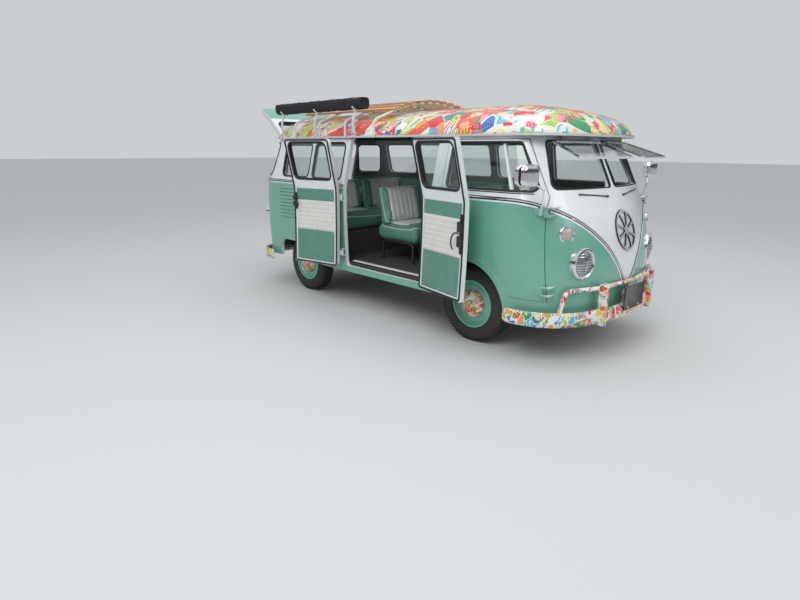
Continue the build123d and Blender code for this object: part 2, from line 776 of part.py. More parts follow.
def level_hinge(hinge, y):
    """Both halves of a hinge on a level axis across the tail: (eye on the lid, fixed lugs)."""
    x, z = hinge
    along = (y - EYE_HALF, y + EYE_HALF)
    eye = rod((x, along[0], z), (x, along[1], z), EYE_R)
    strap = box((x - EYE_R + 2, x + 120), along, (z - 60, z - 4))
    strap -= box((x + 8, x + 200), along, (z - 28, z))
    strap = strap - OUTER - box((x + 8, x + 200), (-900, 900), (z - 22, z + 10))
    strap = max(strap.solids(), key=lambda s: -s.center().X) + eye
    strap -= rod((x, y - 2 * EYE_HALF, z), (x, y + 2 * EYE_HALF, z), PIN_R + FIT)
    half = EYE_HALF + FIT
    lugs = rod((x, y - half - LUG_HEIGHT, z), (x, y + half + LUG_HEIGHT, z), PIN_R)
    for low in (y - half - LUG_HEIGHT, y + half):
        span = (low, low + LUG_HEIGHT)
        lug = box((x, x + 120), span, (z - 4, z + EYE_R)) - OUTER
        lugs += max(lug.solids(), key=lambda s: -s.center().X)
        lugs += rod((x, span[0], z), (x, span[1], z), EYE_R)
    return strap, lugs


def tailgate():
    gate = SHELL & tail_prism(TAILGATE_HALF, TAILGATE_Z, TAILGATE_CORNER - GAP, GAP)
    gate -= tail_window()
    for y in (-TAIL_HINGE_Y, TAIL_HINGE_Y):
        gate += level_hinge(TAILGATE_HINGE, y)[0]
    return gate


def tail_window(inset=0.0):
    edge = TAILGATE_CORNER_WINDOW
    return tail_prism(TAILGATE_HALF - edge, (WINDOW_Z[0], WINDOW_Z[1] - 4 * GAP), edge, inset)


def tail_glass():
    return GLASS_LAYER & tail_window(FIT)


def engine_lid():
    lid = SHELL & tail_prism(LID_HALF, LID_Z, LID_CORNER - GAP, GAP)
    handle = rod((LID_HINGE[0], 0, LID_HANDLE_Z), (TAIL_X, 0, LID_HANDLE_Z), LID_HANDLE_R)
    lid += handle - INNER
    for y in (-TAIL_HINGE_Y, TAIL_HINGE_Y):
        lid += level_hinge(LID_HINGE, y)[0]
    return lid


def screen_frame(side):
    """One flat windscreen frame, hinged open at its head, with its pane."""
    foot_x = LOWER_SECTIONS[2].nose_x - 58
    foot_z = SCREEN_Z[0] + GAP
    hinge_x, hinge_z = SCREEN_HINGE
    way = Vector(foot_x - hinge_x, 0, foot_z - hinge_z)
    lean = math.degrees(math.atan2(way.X, -way.Z))
    length = way.length
    inner, outer = SCREEN_INNER_Y + GAP, (SCREEN_OUTER_Y[0] - GAP, SCREEN_OUTER_Y[1] - GAP)

    def outline(inset, corner):
        points = [(side * (inner + inset), -inset), (side * (outer[1] - inset), -inset),
                  (side * (outer[0] - inset), inset - length), (side * (inner + inset), inset - length)]
        return polygon(points, corner)

    frame = extrude(Plane.YZ * (outline(0, 32) - outline(FRAME_BAR, 22)), amount=14, dir=(1, 0, 0))
    pane = Pos(4, 0, 0) * extrude(Plane.YZ * outline(FRAME_BAR, 22), amount=GLASS, dir=(1, 0, 0))
    hang = Pos(hinge_x, 0, hinge_z) * Rot(0, 0, SCREEN_SWEEP * side)
    tilt = Rot(0, -lean - SCREEN_OPEN, 0)
    lugs_z = (6, GUTTER_Z - FIT - hinge_z)
    lugs = [hang * box((0, 12), (side * y - 18, side * y + 18), lugs_z) for y in SCREEN_LUG_Y]
    return hang * tilt * frame + lugs, hang * tilt * pane


# Wheels

def wheel_profile(points):
    """Revolve a closed outline of (radius, across) points about the wheel's axis, which is y."""
    face = make_face(Polyline(*points, close=True))
    return revolve(Plane.XY * face, Axis.Y)


def tyre(_side):
    half = TYRE_WIDTH / 2
    inner, outer, shoulder = RIM_R + FIT, TYRE_R, 26
    wall = [(inner, half - 12), (inner + 26, half), (outer - shoulder - 14, half)]
    rows = [*wall, (outer - 8, half - shoulder)]
    return wheel_profile([(r, -y) for r, y in rows] + [(outer, 0)] + rows[::-1])


def rim(side):
    """Barrel, dished disc and domed cap; side is 1 where the cap faces left."""
    half = TYRE_WIDTH / 2
    barrel = [(RIM_R, half - 8), (RIM_R, -half + 10), (RIM_R - 14, -half + 10), (RIM_R - 14, -half + 40),
              (RIM_R - 30, -half + 60), (RIM_R - 30, half - 56), (CAP_R + 14, half - 34), (30, half - 34),
              (30, half - 28), (CAP_R + 12, half - 28), (RIM_R - 24, half - 44), (RIM_R - 14, half - 30),
              (RIM_R - 14, half - 8)]
    dish = wheel_profile([(r, side * y) for r, y in barrel])
    hub = Pos(0, side * (half - 31), 0) * Rot(90, 0, 0) * Cylinder(36, 6)
    cap = [(0.0, -28), (CAP_R, -28), (CAP_R, -20), (CAP_R - 12, -4),
           (CAP_R - 52, 14), (CAP_R - 84, 20), (0.0, 22)]
    return dish + hub + wheel_profile([(r, side * (half + out)) for r, out in cap])


def wheel(axle, side, piece):
    return Pos(axle[0], side * WHEEL_Y, axle[1]) * piece(side)


# Running gear

def knuckle(side):
    """Fork round the kingpin, drum and stub."""
    z = TYRE_R
    y = KINGPIN_Y
    lugs = [Pos(0, y, level) * Cylinder(25, 16) + box((-25, 25), (y, y + 46), (level - 8, level + 8))
            for level in (z - 80, z + 80)]
    back = box((-36, 36), (y + 32, y + 46), (z - 88, z + 88))
    drum = Pos(0, y + 82, z) * Rot(90, 0, 0) * Cylinder(DRUM_R, 72)
    boss = rod((0, y + 100, z), (0, HUB_FACE_Y, z), HUB_BOSS_R)
    shape = lugs[0] + lugs[1] + back + drum + boss
    return shape if side > 0 else mirror(shape, about=Plane.XZ)


def front_axle():
    """Two cross tubes, end plates, trailing arms and the kingpin carriers."""
    tube_x, levels = FRONT_TUBE_X, (TYRE_R - 48, TYRE_R + 48)
    axle = None
    for z in levels:
        tube = rod((tube_x, -440, z), (tube_x, 440, z), 30)
        axle = tube if axle is None else axle + tube
    for side in (1, -1):
        plate_x = (tube_x - AXLE_PLATE[0], tube_x + AXLE_PLATE[1])
        axle += box(plate_x, sorted((side * 330, side * 350)), (TYRE_R - 92, CAB_FLOOR_Z - FIT))
        carrier = Pos(0, side * KINGPIN_Y, TYRE_R) * Cylinder(22, 2 * 80 - 16 - 2 * FIT)
        axle += carrier
        for z in levels:
            axle += rod((tube_x, side * 425, z), (0, side * KINGPIN_Y, z), 15)
    return axle


def rear_axle():
    """Gearbox, axle tubes, reduction boxes and drums."""
    x, z = REAR_AXLE
    tube_z = z + 72
    shape = rod((GEARBOX_X[0], 0, tube_z), (GEARBOX_X[1], 0, tube_z), 118)
    shape += rod((x, -560, tube_z), (x, 560, tube_z), 34)
    for side in (1, -1):
        inner, outer = sorted((side * 540, side * 590))
        shape += box((x - 55, x + 55), (inner, outer), (z, tube_z))
        for level in (z, tube_z):
            shape += rod((x, side * 540, level), (x, side * 590, level), 55)
        shape += rod((x, side * 590, z), (x, side * 660, z), DRUM_R)
        shape += rod((x, side * 650, z), (x, side * HUB_FACE_Y, z), HUB_BOSS_R)
    return shape


def engine():
    """Engine as one block at its place, with the muffler under the tail."""
    block = box((ENGINE_X, GEARBOX_X[0]), (-ENGINE_HALF, ENGINE_HALF), ENGINE_Z)
    end = ENGINE_HALF - 30
    muffler = rod((ENGINE_X, -end, ENGINE_Z[0]), (ENGINE_X, end, ENGINE_Z[0]), MUFFLER_R)
    return block + (muffler - block)


def floor():
    """Cab floor, wheel boxes, load floor, rear seat box and the deck over the engine."""
    wide = 900
    deck = FLOOR_THICK
    seat_rear, seat_front = SEAT_BOX_X
    plates = [
        box((seat_front, LOWER_SECTIONS[1].nose_x), (-wide, wide), (CAB_FLOOR_Z, CAB_FLOOR_Z + deck)),
        box((seat_rear, seat_front), (-WHEEL_BOX_Y, WHEEL_BOX_Y), (CAB_FLOOR_Z, CAB_FLOOR_Z + deck)),
        box((seat_rear, seat_front), (-wide, wide), (WHEEL_BOX_TOP, WHEEL_BOX_TOP + deck)),
        box((seat_front - deck, seat_front), (-wide, wide), (CAB_FLOOR_Z, WHEEL_BOX_TOP)),
        box((seat_rear, seat_rear + deck), (-wide, wide), (LOAD_FLOOR_Z - deck, WHEEL_BOX_TOP)),
        box((seat_rear, seat_front), (WHEEL_BOX_Y - deck, WHEEL_BOX_Y), (CAB_FLOOR_Z, WHEEL_BOX_TOP)),
        box((seat_rear, seat_front), (-WHEEL_BOX_Y, deck - WHEEL_BOX_Y), (CAB_FLOOR_Z, WHEEL_BOX_TOP)),
        box((REAR_STEP_X, seat_rear), (-wide, wide), (LOAD_FLOOR_Z - deck, LOAD_FLOOR_Z)),
        box((REAR_STEP_X - deck, REAR_STEP_X), (-wide, wide), (LOAD_FLOOR_Z - deck, REAR_BOX_Z)),
        box((REAR_WALL_X, REAR_STEP_X - deck), (-wide, wide), (REAR_BOX_Z - deck, REAR_BOX_Z)),
        box((REAR_WALL_X - deck, REAR_WALL_X), (-wide, wide), (REAR_BOX_Z - deck, REAR_DECK_Z)),
        box((LID_HINGE[0], REAR_WALL_X - deck), (-wide, wide), (REAR_DECK_Z - deck, REAR_DECK_Z)),
    ]
    for side in (1, -1):
        y = sorted((side * REAR_WELL_Y, side * wide))
        well = box((ENGINE_ROOM_X, REAR_WALL_X - deck), y, (REAR_BOX_Z - deck, REAR_BOX_Z))
        back = box((ENGINE_ROOM_X - deck, ENGINE_ROOM_X), y, (REAR_BOX_Z - 250, REAR_BOX_Z))
        wall_y = sorted((side * REAR_WELL_Y, side * (REAR_WELL_Y + deck)))
        inner = box((ENGINE_ROOM_X, REAR_WALL_X - deck), wall_y, (REAR_BOX_Z, REAR_DECK_Z - deck))
        plates += [well, back, inner]
    shape = None
    for plate in plates:
        piece = plate & INNER
        shape = piece if shape is None else shape + piece
    return shape - DOOR_ROOM


def chassis():
    """Two rails joined by cross members, with outriggers to the sills that carry the jack pads."""
    top = LOAD_FLOOR_Z - FLOOR_THICK
    rail_z = (top - RAIL_DEPTH, top)
    rear_x = GEARBOX_X[1] + FIT
    shape = box((rear_x, rear_x + 50), (-RAIL_Y[1], RAIL_Y[1]), rail_z)
    for side in (1, -1):
        y = sorted((side * RAIL_Y[0], side * RAIL_Y[1]))
        shape += box((rear_x, FRONT_TUBE_X - AXLE_PLATE[0] - FIT), y, rail_z)
    for i in range(CROSS_MEMBERS):
        x = JACK_X[0] + (JACK_X[1] - JACK_X[0]) * i / (CROSS_MEMBERS - 1)
        shape += box((x - 30, x + 30), (-760, 760), (top - 60, top))
    for x in JACK_X:
        for side in (1, -1):
            shape += box((x - 45, x + 45), sorted((side * 700, side * 790)), (JACK_Z, top))
    return shape


# Bumpers

def bumper_blade(section, x):
    """A blade that follows the body in plan, crowned over its height and rounded at its ends."""
    low, high = BUMPER_Z

    def crowned(thick):
        wires = []
        for row in BLADE_ROWS:
            out = BUMPER_STAND_OFF + row.bulge + thick
            wires.append(plan_wire(section, -out, low + (high - low) * row.share))
        return Solid.make_loft(wires)

    reach = 1000
    keep = side_prism(rounded(x, BUMPER_Z, BUMPER_END_CORNER), 1, -reach, reach)
    return (keep & crowned(BUMPER_THICK)) - crowned(0)


def nose_arc_x(y, stand_off, section=LOWER_SECTIONS[0]):
    """Where the nose arc, moved out by the stand-off, crosses a given y."""
    radius = section.nose_r + stand_off
    return section.nose_x - section.nose_r + math.sqrt(radius ** 2 - y ** 2)


def bumper_front():
    section = LOWER_SECTIONS[0]
    shape = bumper_blade(section, (BUMPER_END_X, 2000))
    reach = BUMPER_REACH
    for side in (1, -1):
        x = nose_arc_x(OVERRIDER_Y, BUMPER_STAND_OFF)
        y = sorted((side * (OVERRIDER_Y - OVERRIDER_WIDTH / 2), side * (OVERRIDER_Y + OVERRIDER_WIDTH / 2)))
        guard = box((x - 12, x + 42), y, OVERRIDER_Z)
        shape += fillet(guard.edges().filter_by(Axis.Z).group_by(Axis.X)[-1], 20)
        arm_y = sorted((side * BUMPER_ARM_Y[0], side * BUMPER_ARM_Y[1]))
        arm = box((section.nose_x - 200, nose_arc_x(BUMPER_ARM_Y[1], BUMPER_STAND_OFF) + 4), arm_y, ARM_Z)
        shape += arm
    tube_x = nose_arc_x(0, reach) - BUMPER_TUBE_R
    foot_x = nose_arc_x(TUBE_FOOT_Y, BUMPER_STAND_OFF) - 52
    shoulder = TUBE_FOOT_Y - 30
    shoulder_x = nose_arc_x(shoulder, BUMPER_STAND_OFF) - 36
    path_points = [
        (foot_x, -TUBE_FOOT_Y, BUMPER_Z[1] - 40), (shoulder_x, -shoulder, BUMPER_TUBE_Z),
        (nose_arc_x(OVERRIDER_Y, reach) - 24, -OVERRIDER_Y, BUMPER_TUBE_Z), (tube_x - 14, 0, BUMPER_TUBE_Z),
        (nose_arc_x(OVERRIDER_Y, reach) - 24, OVERRIDER_Y, BUMPER_TUBE_Z),
        (shoulder_x, shoulder, BUMPER_TUBE_Z), (foot_x, TUBE_FOOT_Y, BUMPER_Z[1] - 40),
    ]
    path = FilletPolyline(*path_points, radius=60)
    tube = sweep(Plane(origin=path @ 0, z_dir=path % 0) * Circle(BUMPER_TUBE_R), path)
    shape += tube
    plate_x = nose_arc_x(0, reach)
    half_width = PLATE_HOLES / 2 + PLATE_MARGIN
    plate_z = (PLATE_Z - PLATE_MARGIN, PLATE_Z + PLATE_MARGIN)
    bracket = box((plate_x - 8, plate_x + 5), (-half_width, half_width), plate_z)
    for side in (1, -1):
        hole_y = side * PLATE_HOLES / 2
        bracket -= rod((plate_x - 1, hole_y, PLATE_Z), (plate_x + 6, hole_y, PLATE_Z), PLATE_HOLE_R)
    return shape + bracket


def bumper_rear():
    section = LOWER_SECTIONS[0]
    shape = bumper_blade(section, (TAIL_X - 1000, TAIL_X + 330))
    for side in (1, -1):
        arm_y = sorted((side * BUMPER_ARM_Y[0], side * BUMPER_ARM_Y[1]))
        arm_x = (section.tail_x - BUMPER_REACH + 0.7 * BUMPER_THICK, section.tail_x + 200)
        shape += box(arm_x, arm_y, ARM_Z)
    return shape


# Lamps, badge, mirrors and wipers

def dome(radius, height):
    """Ball whose top stands so high over a circle of the radius on the plane."""
    ball = (radius ** 2 + height ** 2) / (2 * height)
    return ball, Pos(0, 0, height - ball)


def domed_disc(radius, height, root):
    """Disc from the root up, closed by a dome."""
    ball, place = dome(radius, height)
    return Pos(0, 0, -root) * extrude(Circle(radius), amount=root + height) & place * Sphere(ball)


def lamp_bezel(outer, inner, root):
    """Chrome ring with a rolled edge, in the plane of its lamp."""
    roll = (outer - inner) / 3
    face = make_face(Polyline((inner, -root), (outer, -root), (outer, roll / 2), (outer - roll, 1.6 * roll),
                              (inner + roll, 1.8 * roll), (inner, roll), close=True))
    return revolve(Plane.XZ * face, Axis.Z)


def lamp_guard():
    """Domed guard of level slats joined by one upright bar, in the plane of its lamp."""
    ball, place = dome(HEADLIGHT_LENS, GUARD_DOME)
    layer = place * Sphere(ball) - place * Sphere(ball - GUARD_THICK)
    layer &= extrude(Circle(HEADLIGHT_LENS + 4), amount=GUARD_DOME)
    wide = 2 * HEADLIGHT_RIM
    bars = Pos(0, 0, GUARD_DOME / 2) * Box(8, wide, GUARD_DOME)
    for i in range(GUARD_SLATS):
        y = GUARD_PITCH * (i - (GUARD_SLATS - 1) / 2)
        bars += Pos(0, y, GUARD_DOME / 2) * Box(wide, GUARD_THICK, GUARD_DOME)
    return layer & bars


def upright(plane):
    """The same plane turned so that its y axis points up."""
    return Plane(origin=plane.origin, x_dir=Vector(0, 0, 1).cross(plane.z_dir), z_dir=plane.z_dir)


def lamps():
    """Headlights with their guards, round turn signals and the two tail lamps, none touching another."""
    shapes = []
    lens_rise = GUARD_DOME - 3 * GUARD_THICK
    for side, body in zip((1, -1), headlight_bodies(FIT, GUARD_THICK)):
        plane = upright(lamp_plane(HEADLIGHT_AT, HEADLIGHT_TURN, side))
        front = lamp_bezel(HEADLIGHT_RIM, HEADLIGHT_LENS, HEADLIGHT_BACK - 30) + lamp_guard()
        lens = domed_disc(HEADLIGHT_LENS + 2, lens_rise, 10)
        shapes.append(body + (plane * front - OUTER) + plane * lens)
        plane = lamp_plane(SIGNAL_AT, SIGNAL_TURN, side)
        signal = lamp_bezel(SIGNAL_R, SIGNAL_LENS, 50) + domed_disc(SIGNAL_LENS + 1, 20, 50)
        shapes.append(plane * Pos(0, 0, 10) * signal - OUTER)
        root_y, face_y = (side * y for y in TAIL_LAMP_Y)
        tail = rod((TAIL_X + 80, root_y, TAIL_LAMP_Z), (TAIL_X - 70, face_y, TAIL_LAMP_Z), TAIL_LAMP_R)
        shapes.append(tail - OUTER)
    return shapes


def nose_badge():
    """A plain spoked ring that follows the nose."""
    sketch = Circle(BADGE_R) - Circle(BADGE_R - BADGE_RING) + Circle(BADGE_HUB)
    length = BADGE_R - BADGE_RING / 2
    for i in range(BADGE_SPOKES):
        spoke = make_face(Polyline((0, -4), (length, -11), (length, 11), (0, 4), close=True))
        sketch += Rot(0, 0, 360 * (i + 0.5) / BADGE_SPOKES) * spoke
    nose = LOWER_SECTIONS[1].nose_x
    plane = Plane(origin=(nose - 200, 0, BADGE_Z), x_dir=(0, 1, 0), z_dir=(1, 0, 0))
    return (plane * extrude(sketch, amount=400) & body_solid(-BADGE_THICK)) - OUTER


def mirror_piece(side):
    """Round-cornered head on a bent arm from the door hinge."""
    head_x, head_y, head_z = MIRROR_HEAD
    level = CAB_HINGE_LEVELS[1]
    face_y = CAB_HINGE[1] + EYE_R
    foot = box(MIRROR_FOOT_X, (face_y, face_y + 2 * MIRROR_ARM_R), (level - EYE_HALF, level + EYE_HALF))
    bends = [(650, face_y + 8, level + 10), (676, face_y + 30, level + 150),
             (head_x + 16, head_y - 40, head_z - 32)]
    arm = rod(bends[0], bends[1], MIRROR_ARM_R) + Pos(*bends[1]) * Sphere(MIRROR_ARM_R)
    arm += rod(bends[1], bends[2], MIRROR_ARM_R)
    head = extrude(RectangleRounded(*MIRROR_SIZE), amount=MIRROR_DEPTH)
    head = fillet(head.faces().sort_by(Axis.Z)[-1].edges(), MIRROR_DEPTH / 3)
    plane = Plane(origin=MIRROR_HEAD, x_dir=(0.25, -1, 0), z_dir=(1, 0.25, 0))
    shape = arm + foot + plane * head
    return shape if side > 0 else mirror(shape, about=Plane.XZ)


def wipers():
    """Two arms parked across the foot of the windscreen."""
    shapes = []
    for side in (1, -1):
        root = (WIPER_ROOT[0], side * WIPER_ROOT[1], WIPER_ROOT[2])
        tip = (WIPER_TIP[0], side * WIPER_TIP[1], WIPER_TIP[2])
        spindle = rod((root[0] - 38, root[1], root[2]), root, WIPER_R + 4)
        shapes.append((spindle + rod(root, tip, WIPER_R)) - OUTER)
    return shapes


# Cabin

def bench(row):
    """Cushion and leaning back as one closed form, on two legs where it stands on the floor."""
    seat = box((row.rear_x, row.front_x), (row.right_y, row.left_y), (row.top_z - CUSHION, row.top_z))
    seat = fillet(seat.edges().filter_by(Axis.Y).group_by(Axis.X)[-1], CUSHION_CORNER)
    foot, head = row.rear_x + row.lean, row.rear_x
    depth = row.back_depth
    low_z = row.top_z - CUSHION / 2
    side = polygon([(foot, low_z), (foot + depth, low_z),
                    (head + BACK_TAPER * depth, row.back_top), (head, row.back_top)])
    back = Pos(0, row.right_y, 0) * extrude(Plane.XZ * side, amount=row.left_y - row.right_y, dir=(0, 1, 0))
    back = fillet(back.edges().filter_by(Axis.Y).group_by(Axis.Z)[-1], BACK_CORNER)
    legs_z = (row.floor_z + FIT, row.top_z - CUSHION)
    shape = seat + back
    if legs_z[1] - legs_z[0] > 20:
        for y in (row.right_y + 60, row.left_y - 100):
            shape += box((row.rear_x + 60, row.front_x - 90), (y, y + 40), legs_z)
    return shape


def dashboard():
    """Shelf and panel right across under the windscreen, and the steering column."""
    wide = (-900, 900)
    foot, under, top_z = DASH_Z
    shelf = box(DASH_X, wide, (under, top_z)) & INNER
    panel = box((DASH_X[0], DASH_X[0] + DASH_PANEL), wide, (foot, under)) & INNER
    low = Vector(*COLUMN_FOOT)
    top = Vector(*STEERING_HUB)
    along = (top - low).normalized()
    tube = rod(tuple(low - along * 40), tuple(top - along * (HUB_DEPTH + FIT)), 19)
    tube -= box((300, 900), (0, 800), (0, COLUMN_FOOT[2]))
    bracket_y = (STEERING_Y - 24, STEERING_Y + 24)
    bracket = box((296, 530), bracket_y, (1036, 1060)) + box((500, 530), bracket_y, (1036, 1112))
    return shelf + panel - DOOR_ROOM + bracket + tube


def steering_wheel():
    hub = Vector(*STEERING_HUB)
    along = (hub - Vector(*COLUMN_FOOT)).normalized()
    plane = Plane(origin=hub, x_dir=(0, 1, 0), z_dir=along)
    rim_ring = Torus(STEERING_R, 12)
    shape = rim_ring + Pos(0, 0, 4 - HUB_DEPTH / 2) * Cylinder(34, HUB_DEPTH + 8)
    shape += Box(2 * STEERING_R, 22, 10)
    return plane * shape


# Roof load

def roof_rack():
    """Arched bows from gutter to gutter that carry wood slats along the roof."""
    low, high = RACK_TOP_Z
    rise = high - low
    arc_r = (RACK_HALF ** 2 + rise ** 2) / (2 * rise)
    first, last = RACK_X[0] + RACK_BOW_EDGE[0], RACK_X[1] - RACK_BOW_EDGE[1]
    shape = None
    for i in range(RACK_BOWS):
        path = rack_bow(first + (last - first) * i / (RACK_BOWS - 1), arc_r)
        bow = sweep(Plane(origin=path @ 0, z_dir=path % 0) * Circle(RACK_TUBE_R), path)
        shape = bow if shape is None else shape + bow
    spread = math.asin((RACK_HALF - SLAT_HALF) / arc_r)
    seat = arc_r + RACK_TUBE_R - SLAT_SEAT
    slat = box(RACK_X, (-SLAT_HALF, SLAT_HALF), (seat, seat + SLAT_THICK))
    for i in range(RACK_SLATS):
        turn = spread * (2 * i / (RACK_SLATS - 1) - 1)
        shape += Pos(0, 0, high - arc_r) * Rot(-math.degrees(turn), 0, 0) * slat
    return shape


def rack_bow(x, arc_r):
    """Middle line of one bow: up from the gutter, over in one arc and down again."""
    low, high = RACK_TOP_Z
    foot_y = ROOF_EDGE.half_width + GUTTER_REACH + RACK_TUBE_R + FIT
    shoulder_z = low - (foot_y - RACK_HALF) * RACK_HALF / (arc_r - high + low)
    edges = ThreePointArc((x, RACK_HALF, low), (x, 0, high), (x, -RACK_HALF, low)).edges()
    for side in (1, -1):
        corners = ((x, side * foot_y, GUTTER_Z), (x, side * foot_y, shoulder_z), (x, side * RACK_HALF, low))
        edges += FilletPolyline(*corners, radius=RACK_BEND_R).edges()
    return Wire(edges)


def awning_bag():
    return rod((AWNING_X[0], AWNING_Y, AWNING_Z), (AWNING_X[1], AWNING_Y, AWNING_Z), AWNING_R)


def awning_legs():
    """Three bowed legs from the gutter, each with a saddle under the rolled awning."""
    shapes = []
    foot_y = -(ROOF_EDGE.half_width + GUTTER_REACH - CLEAR)
    foot_z = GUTTER_Z + 2 * GUTTER_THICK
    wide, thick = AWNING_LEG
    for i in range(3):
        x = AWNING_X[0] + 120 + (AWNING_X[1] - AWNING_X[0] - 240) * i / 2
        middle = (x, foot_y - AWNING_LEG_BOW, (foot_z + AWNING_Z - AWNING_R) / 2)
        path = ThreePointArc((x, foot_y, foot_z), middle, (x, AWNING_Y, AWNING_Z - AWNING_R + thick))
        section = Plane(origin=path @ 0, x_dir=(1, 0, 0), z_dir=path % 0) * Rectangle(wide, thick)
        hollow = rod((x - wide, AWNING_Y, AWNING_Z), (x + wide, AWNING_Y, AWNING_Z), AWNING_R + FIT)
        ends = [(x + side * wide / 2, AWNING_Y, AWNING_Z) for side in (-1, 1)]
        saddle = rod(*ends, AWNING_R + thick / 2)
        saddle &= box((x - wide, x + wide), (AWNING_Y - AWNING_R, AWNING_Y + AWNING_R),
                      (AWNING_Z - 2 * AWNING_R, AWNING_Z - AWNING_R / 2))
        shapes.append(sweep(section, path) + saddle - hollow)
    return shapes


def collect():
    """Every node by name, in the frame that has the front axle at x = 0."""
    nodes = {}
    nodes.update(body_panels())
    nodes["roof"] = roof()
    nodes["floor"] = floor()
    nodes["chassis_frame"] = chassis()
    for name, side in (("left", 1), ("right", -1)):
        nodes[f"door_cab_{name}"] = cab_door(side)
        nodes[f"mirror_{name}"] = mirror_piece(side)
        nodes[f"knuckle_{name}"] = knuckle(side)
        for end, axle in (("front", FRONT_AXLE), ("rear", REAR_AXLE)):
            nodes[f"tyre_{end}_{name}"] = wheel(axle, side, tyre)
            nodes[f"rim_{end}_{name}"] = wheel(axle, side, rim)
    for name, front in (("front", True), ("rear", False)):
        nodes[f"door_side_{name}"] = make_side_leaf(front)
        nodes[f"glass_side_{name}"] = make_side_glass(front)
    nodes["glass_cab_left"] = cab_glass(1)
    panes = [GLASS_LAYER & cut for cut in window_cuts(FIT).values()]
    frames, screens = zip(*(screen_frame(side) for side in (1, -1)))
    nodes["glass_body"] = [*panes, *cab_glass(-1), *screens]
    nodes["windscreen_frames"] = list(frames)
    nodes["tailgate"] = lift(tailgate(), TAILGATE_HINGE, TAILGATE_OPEN)
    nodes["glass_tailgate"] = lift(tail_glass(), TAILGATE_HINGE, TAILGATE_OPEN)
    nodes["engine_lid"] = engine_lid()
    nodes["bumper_front"] = bumper_front()
    nodes["bumper_rear"] = bumper_rear()
    nodes["lamps"] = lamps()
    nodes["nose_trim"] = [nose_badge(), *wipers()]
    for name, row in BENCHES.items():
        nodes[name] = bench(row)
    nodes["dashboard"] = dashboard()
    nodes["steering_wheel"] = steering_wheel()
    nodes["front_axle"] = front_axle()
    nodes["rear_axle"] = rear_axle()
    nodes["engine"] = engine()
    nodes["roof_rack"] = [roof_rack(), *awning_legs()]
    nodes["awning_bag"] = awning_bag()
    return nodes


def as_one(shape):
    """One shape to write: a list of separate solids becomes a compound."""
    pieces = shape if isinstance(shape, (list, tuple)) else [shape]
    solids = [solid for piece in pieces for solid in piece.solids()]
    return solids[0] if len(solids) == 1 else Compound(solids)


NODES = {name: as_one(shape) for name, shape in collect().items()}
BOUNDS = Compound(list(NODES.values())).bounding_box()
SHIFT = (-BOUNDS.center().X, -BOUNDS.center().Y, -BOUNDS.min.Z)

os.makedirs(PARTS, exist_ok=True)
for node_name, node in NODES.items():
    export_step(Pos(*SHIFT) * node, f"{PARTS}/{node_name}.step")
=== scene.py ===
"""Looks of a two-tone microbus with its side doors, tailgate and windscreen frames standing open."""

import json
import logging
import math
from dataclasses import dataclass, field
from enum import Enum
from typing import Callable, Iterable, Optional, Sequence, Union

import bmesh
import bpy
from mathutils import Matrix, Vector
from mathutils.bvhtree import BVHTree

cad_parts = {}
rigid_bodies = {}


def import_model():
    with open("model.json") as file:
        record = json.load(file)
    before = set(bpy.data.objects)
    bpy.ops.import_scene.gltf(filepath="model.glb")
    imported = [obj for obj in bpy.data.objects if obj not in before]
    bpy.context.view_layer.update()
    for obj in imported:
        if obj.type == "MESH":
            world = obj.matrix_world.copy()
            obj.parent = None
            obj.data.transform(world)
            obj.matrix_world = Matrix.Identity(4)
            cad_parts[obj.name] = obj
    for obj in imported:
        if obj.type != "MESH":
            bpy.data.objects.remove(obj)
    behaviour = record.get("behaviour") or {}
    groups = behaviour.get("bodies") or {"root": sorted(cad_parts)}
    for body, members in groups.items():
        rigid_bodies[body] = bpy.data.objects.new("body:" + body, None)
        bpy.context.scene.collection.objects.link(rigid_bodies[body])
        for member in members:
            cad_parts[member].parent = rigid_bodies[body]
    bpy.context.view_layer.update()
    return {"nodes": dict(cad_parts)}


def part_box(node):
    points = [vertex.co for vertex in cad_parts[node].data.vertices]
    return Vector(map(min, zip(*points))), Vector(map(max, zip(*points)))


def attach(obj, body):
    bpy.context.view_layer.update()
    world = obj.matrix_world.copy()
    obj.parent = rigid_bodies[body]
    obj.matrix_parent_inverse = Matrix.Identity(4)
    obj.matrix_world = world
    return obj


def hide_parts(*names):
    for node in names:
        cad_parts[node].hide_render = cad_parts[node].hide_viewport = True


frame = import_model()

LOG = logging.getLogger("microbus")

Colour = tuple[float, float, float]
Point2 = tuple[float, float]
Point3 = tuple[float, float, float]
Track = tuple[list[Vector], list[Vector]]        # points on a surface and the normals there
Value = Union["Wire", float, int, tuple]
Thing = bpy.types.Object

X_AXIS, Y_AXIS, Z_AXIS = (Vector(row) for row in ((1, 0, 0), (0, 1, 0), (0, 0, 1)))

# Where the frame has the front axle on the ground, half way between the wheels
WHEEL_Y = 0.675
TYRE_R = 0.325
_LOW, _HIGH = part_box("tyre_front_left")
ORIGIN = (_LOW + _HIGH) / 2 - Vector((0.0, WHEEL_Y, TYRE_R))

# Lines of the body that the paint and the trim share, in metres from that point
BELT_Z = 1.218
V_CURVE = (0.4888, 1.6931, -1.4603, 0.5556)      # height of the front line over the distance from the middle
V_END_Y = 0.862
V_FOOT_Y = 0.030
V_FOOT_Z = 0.40
WINDOW_Z = (1.278, 1.628)
WINDOW_CORNER = 0.055
LEAF_WINDOWS = ((-1.515, -1.025), (-0.935, -0.445))     # of the rear and the front leaf
DOORWAY_X = (-1.565, -0.395)
DOORWAY_Z = (0.425, 1.668)
PAD_THICK = 0.006
RIB_RISE = 0.0045
SIDE_HINGE_Y = -0.885
SIDE_DOOR_OPEN = 168.0
TAILGATE_HINGE = (-3.062, 1.661)
TAILGATE_OPEN = 114.0

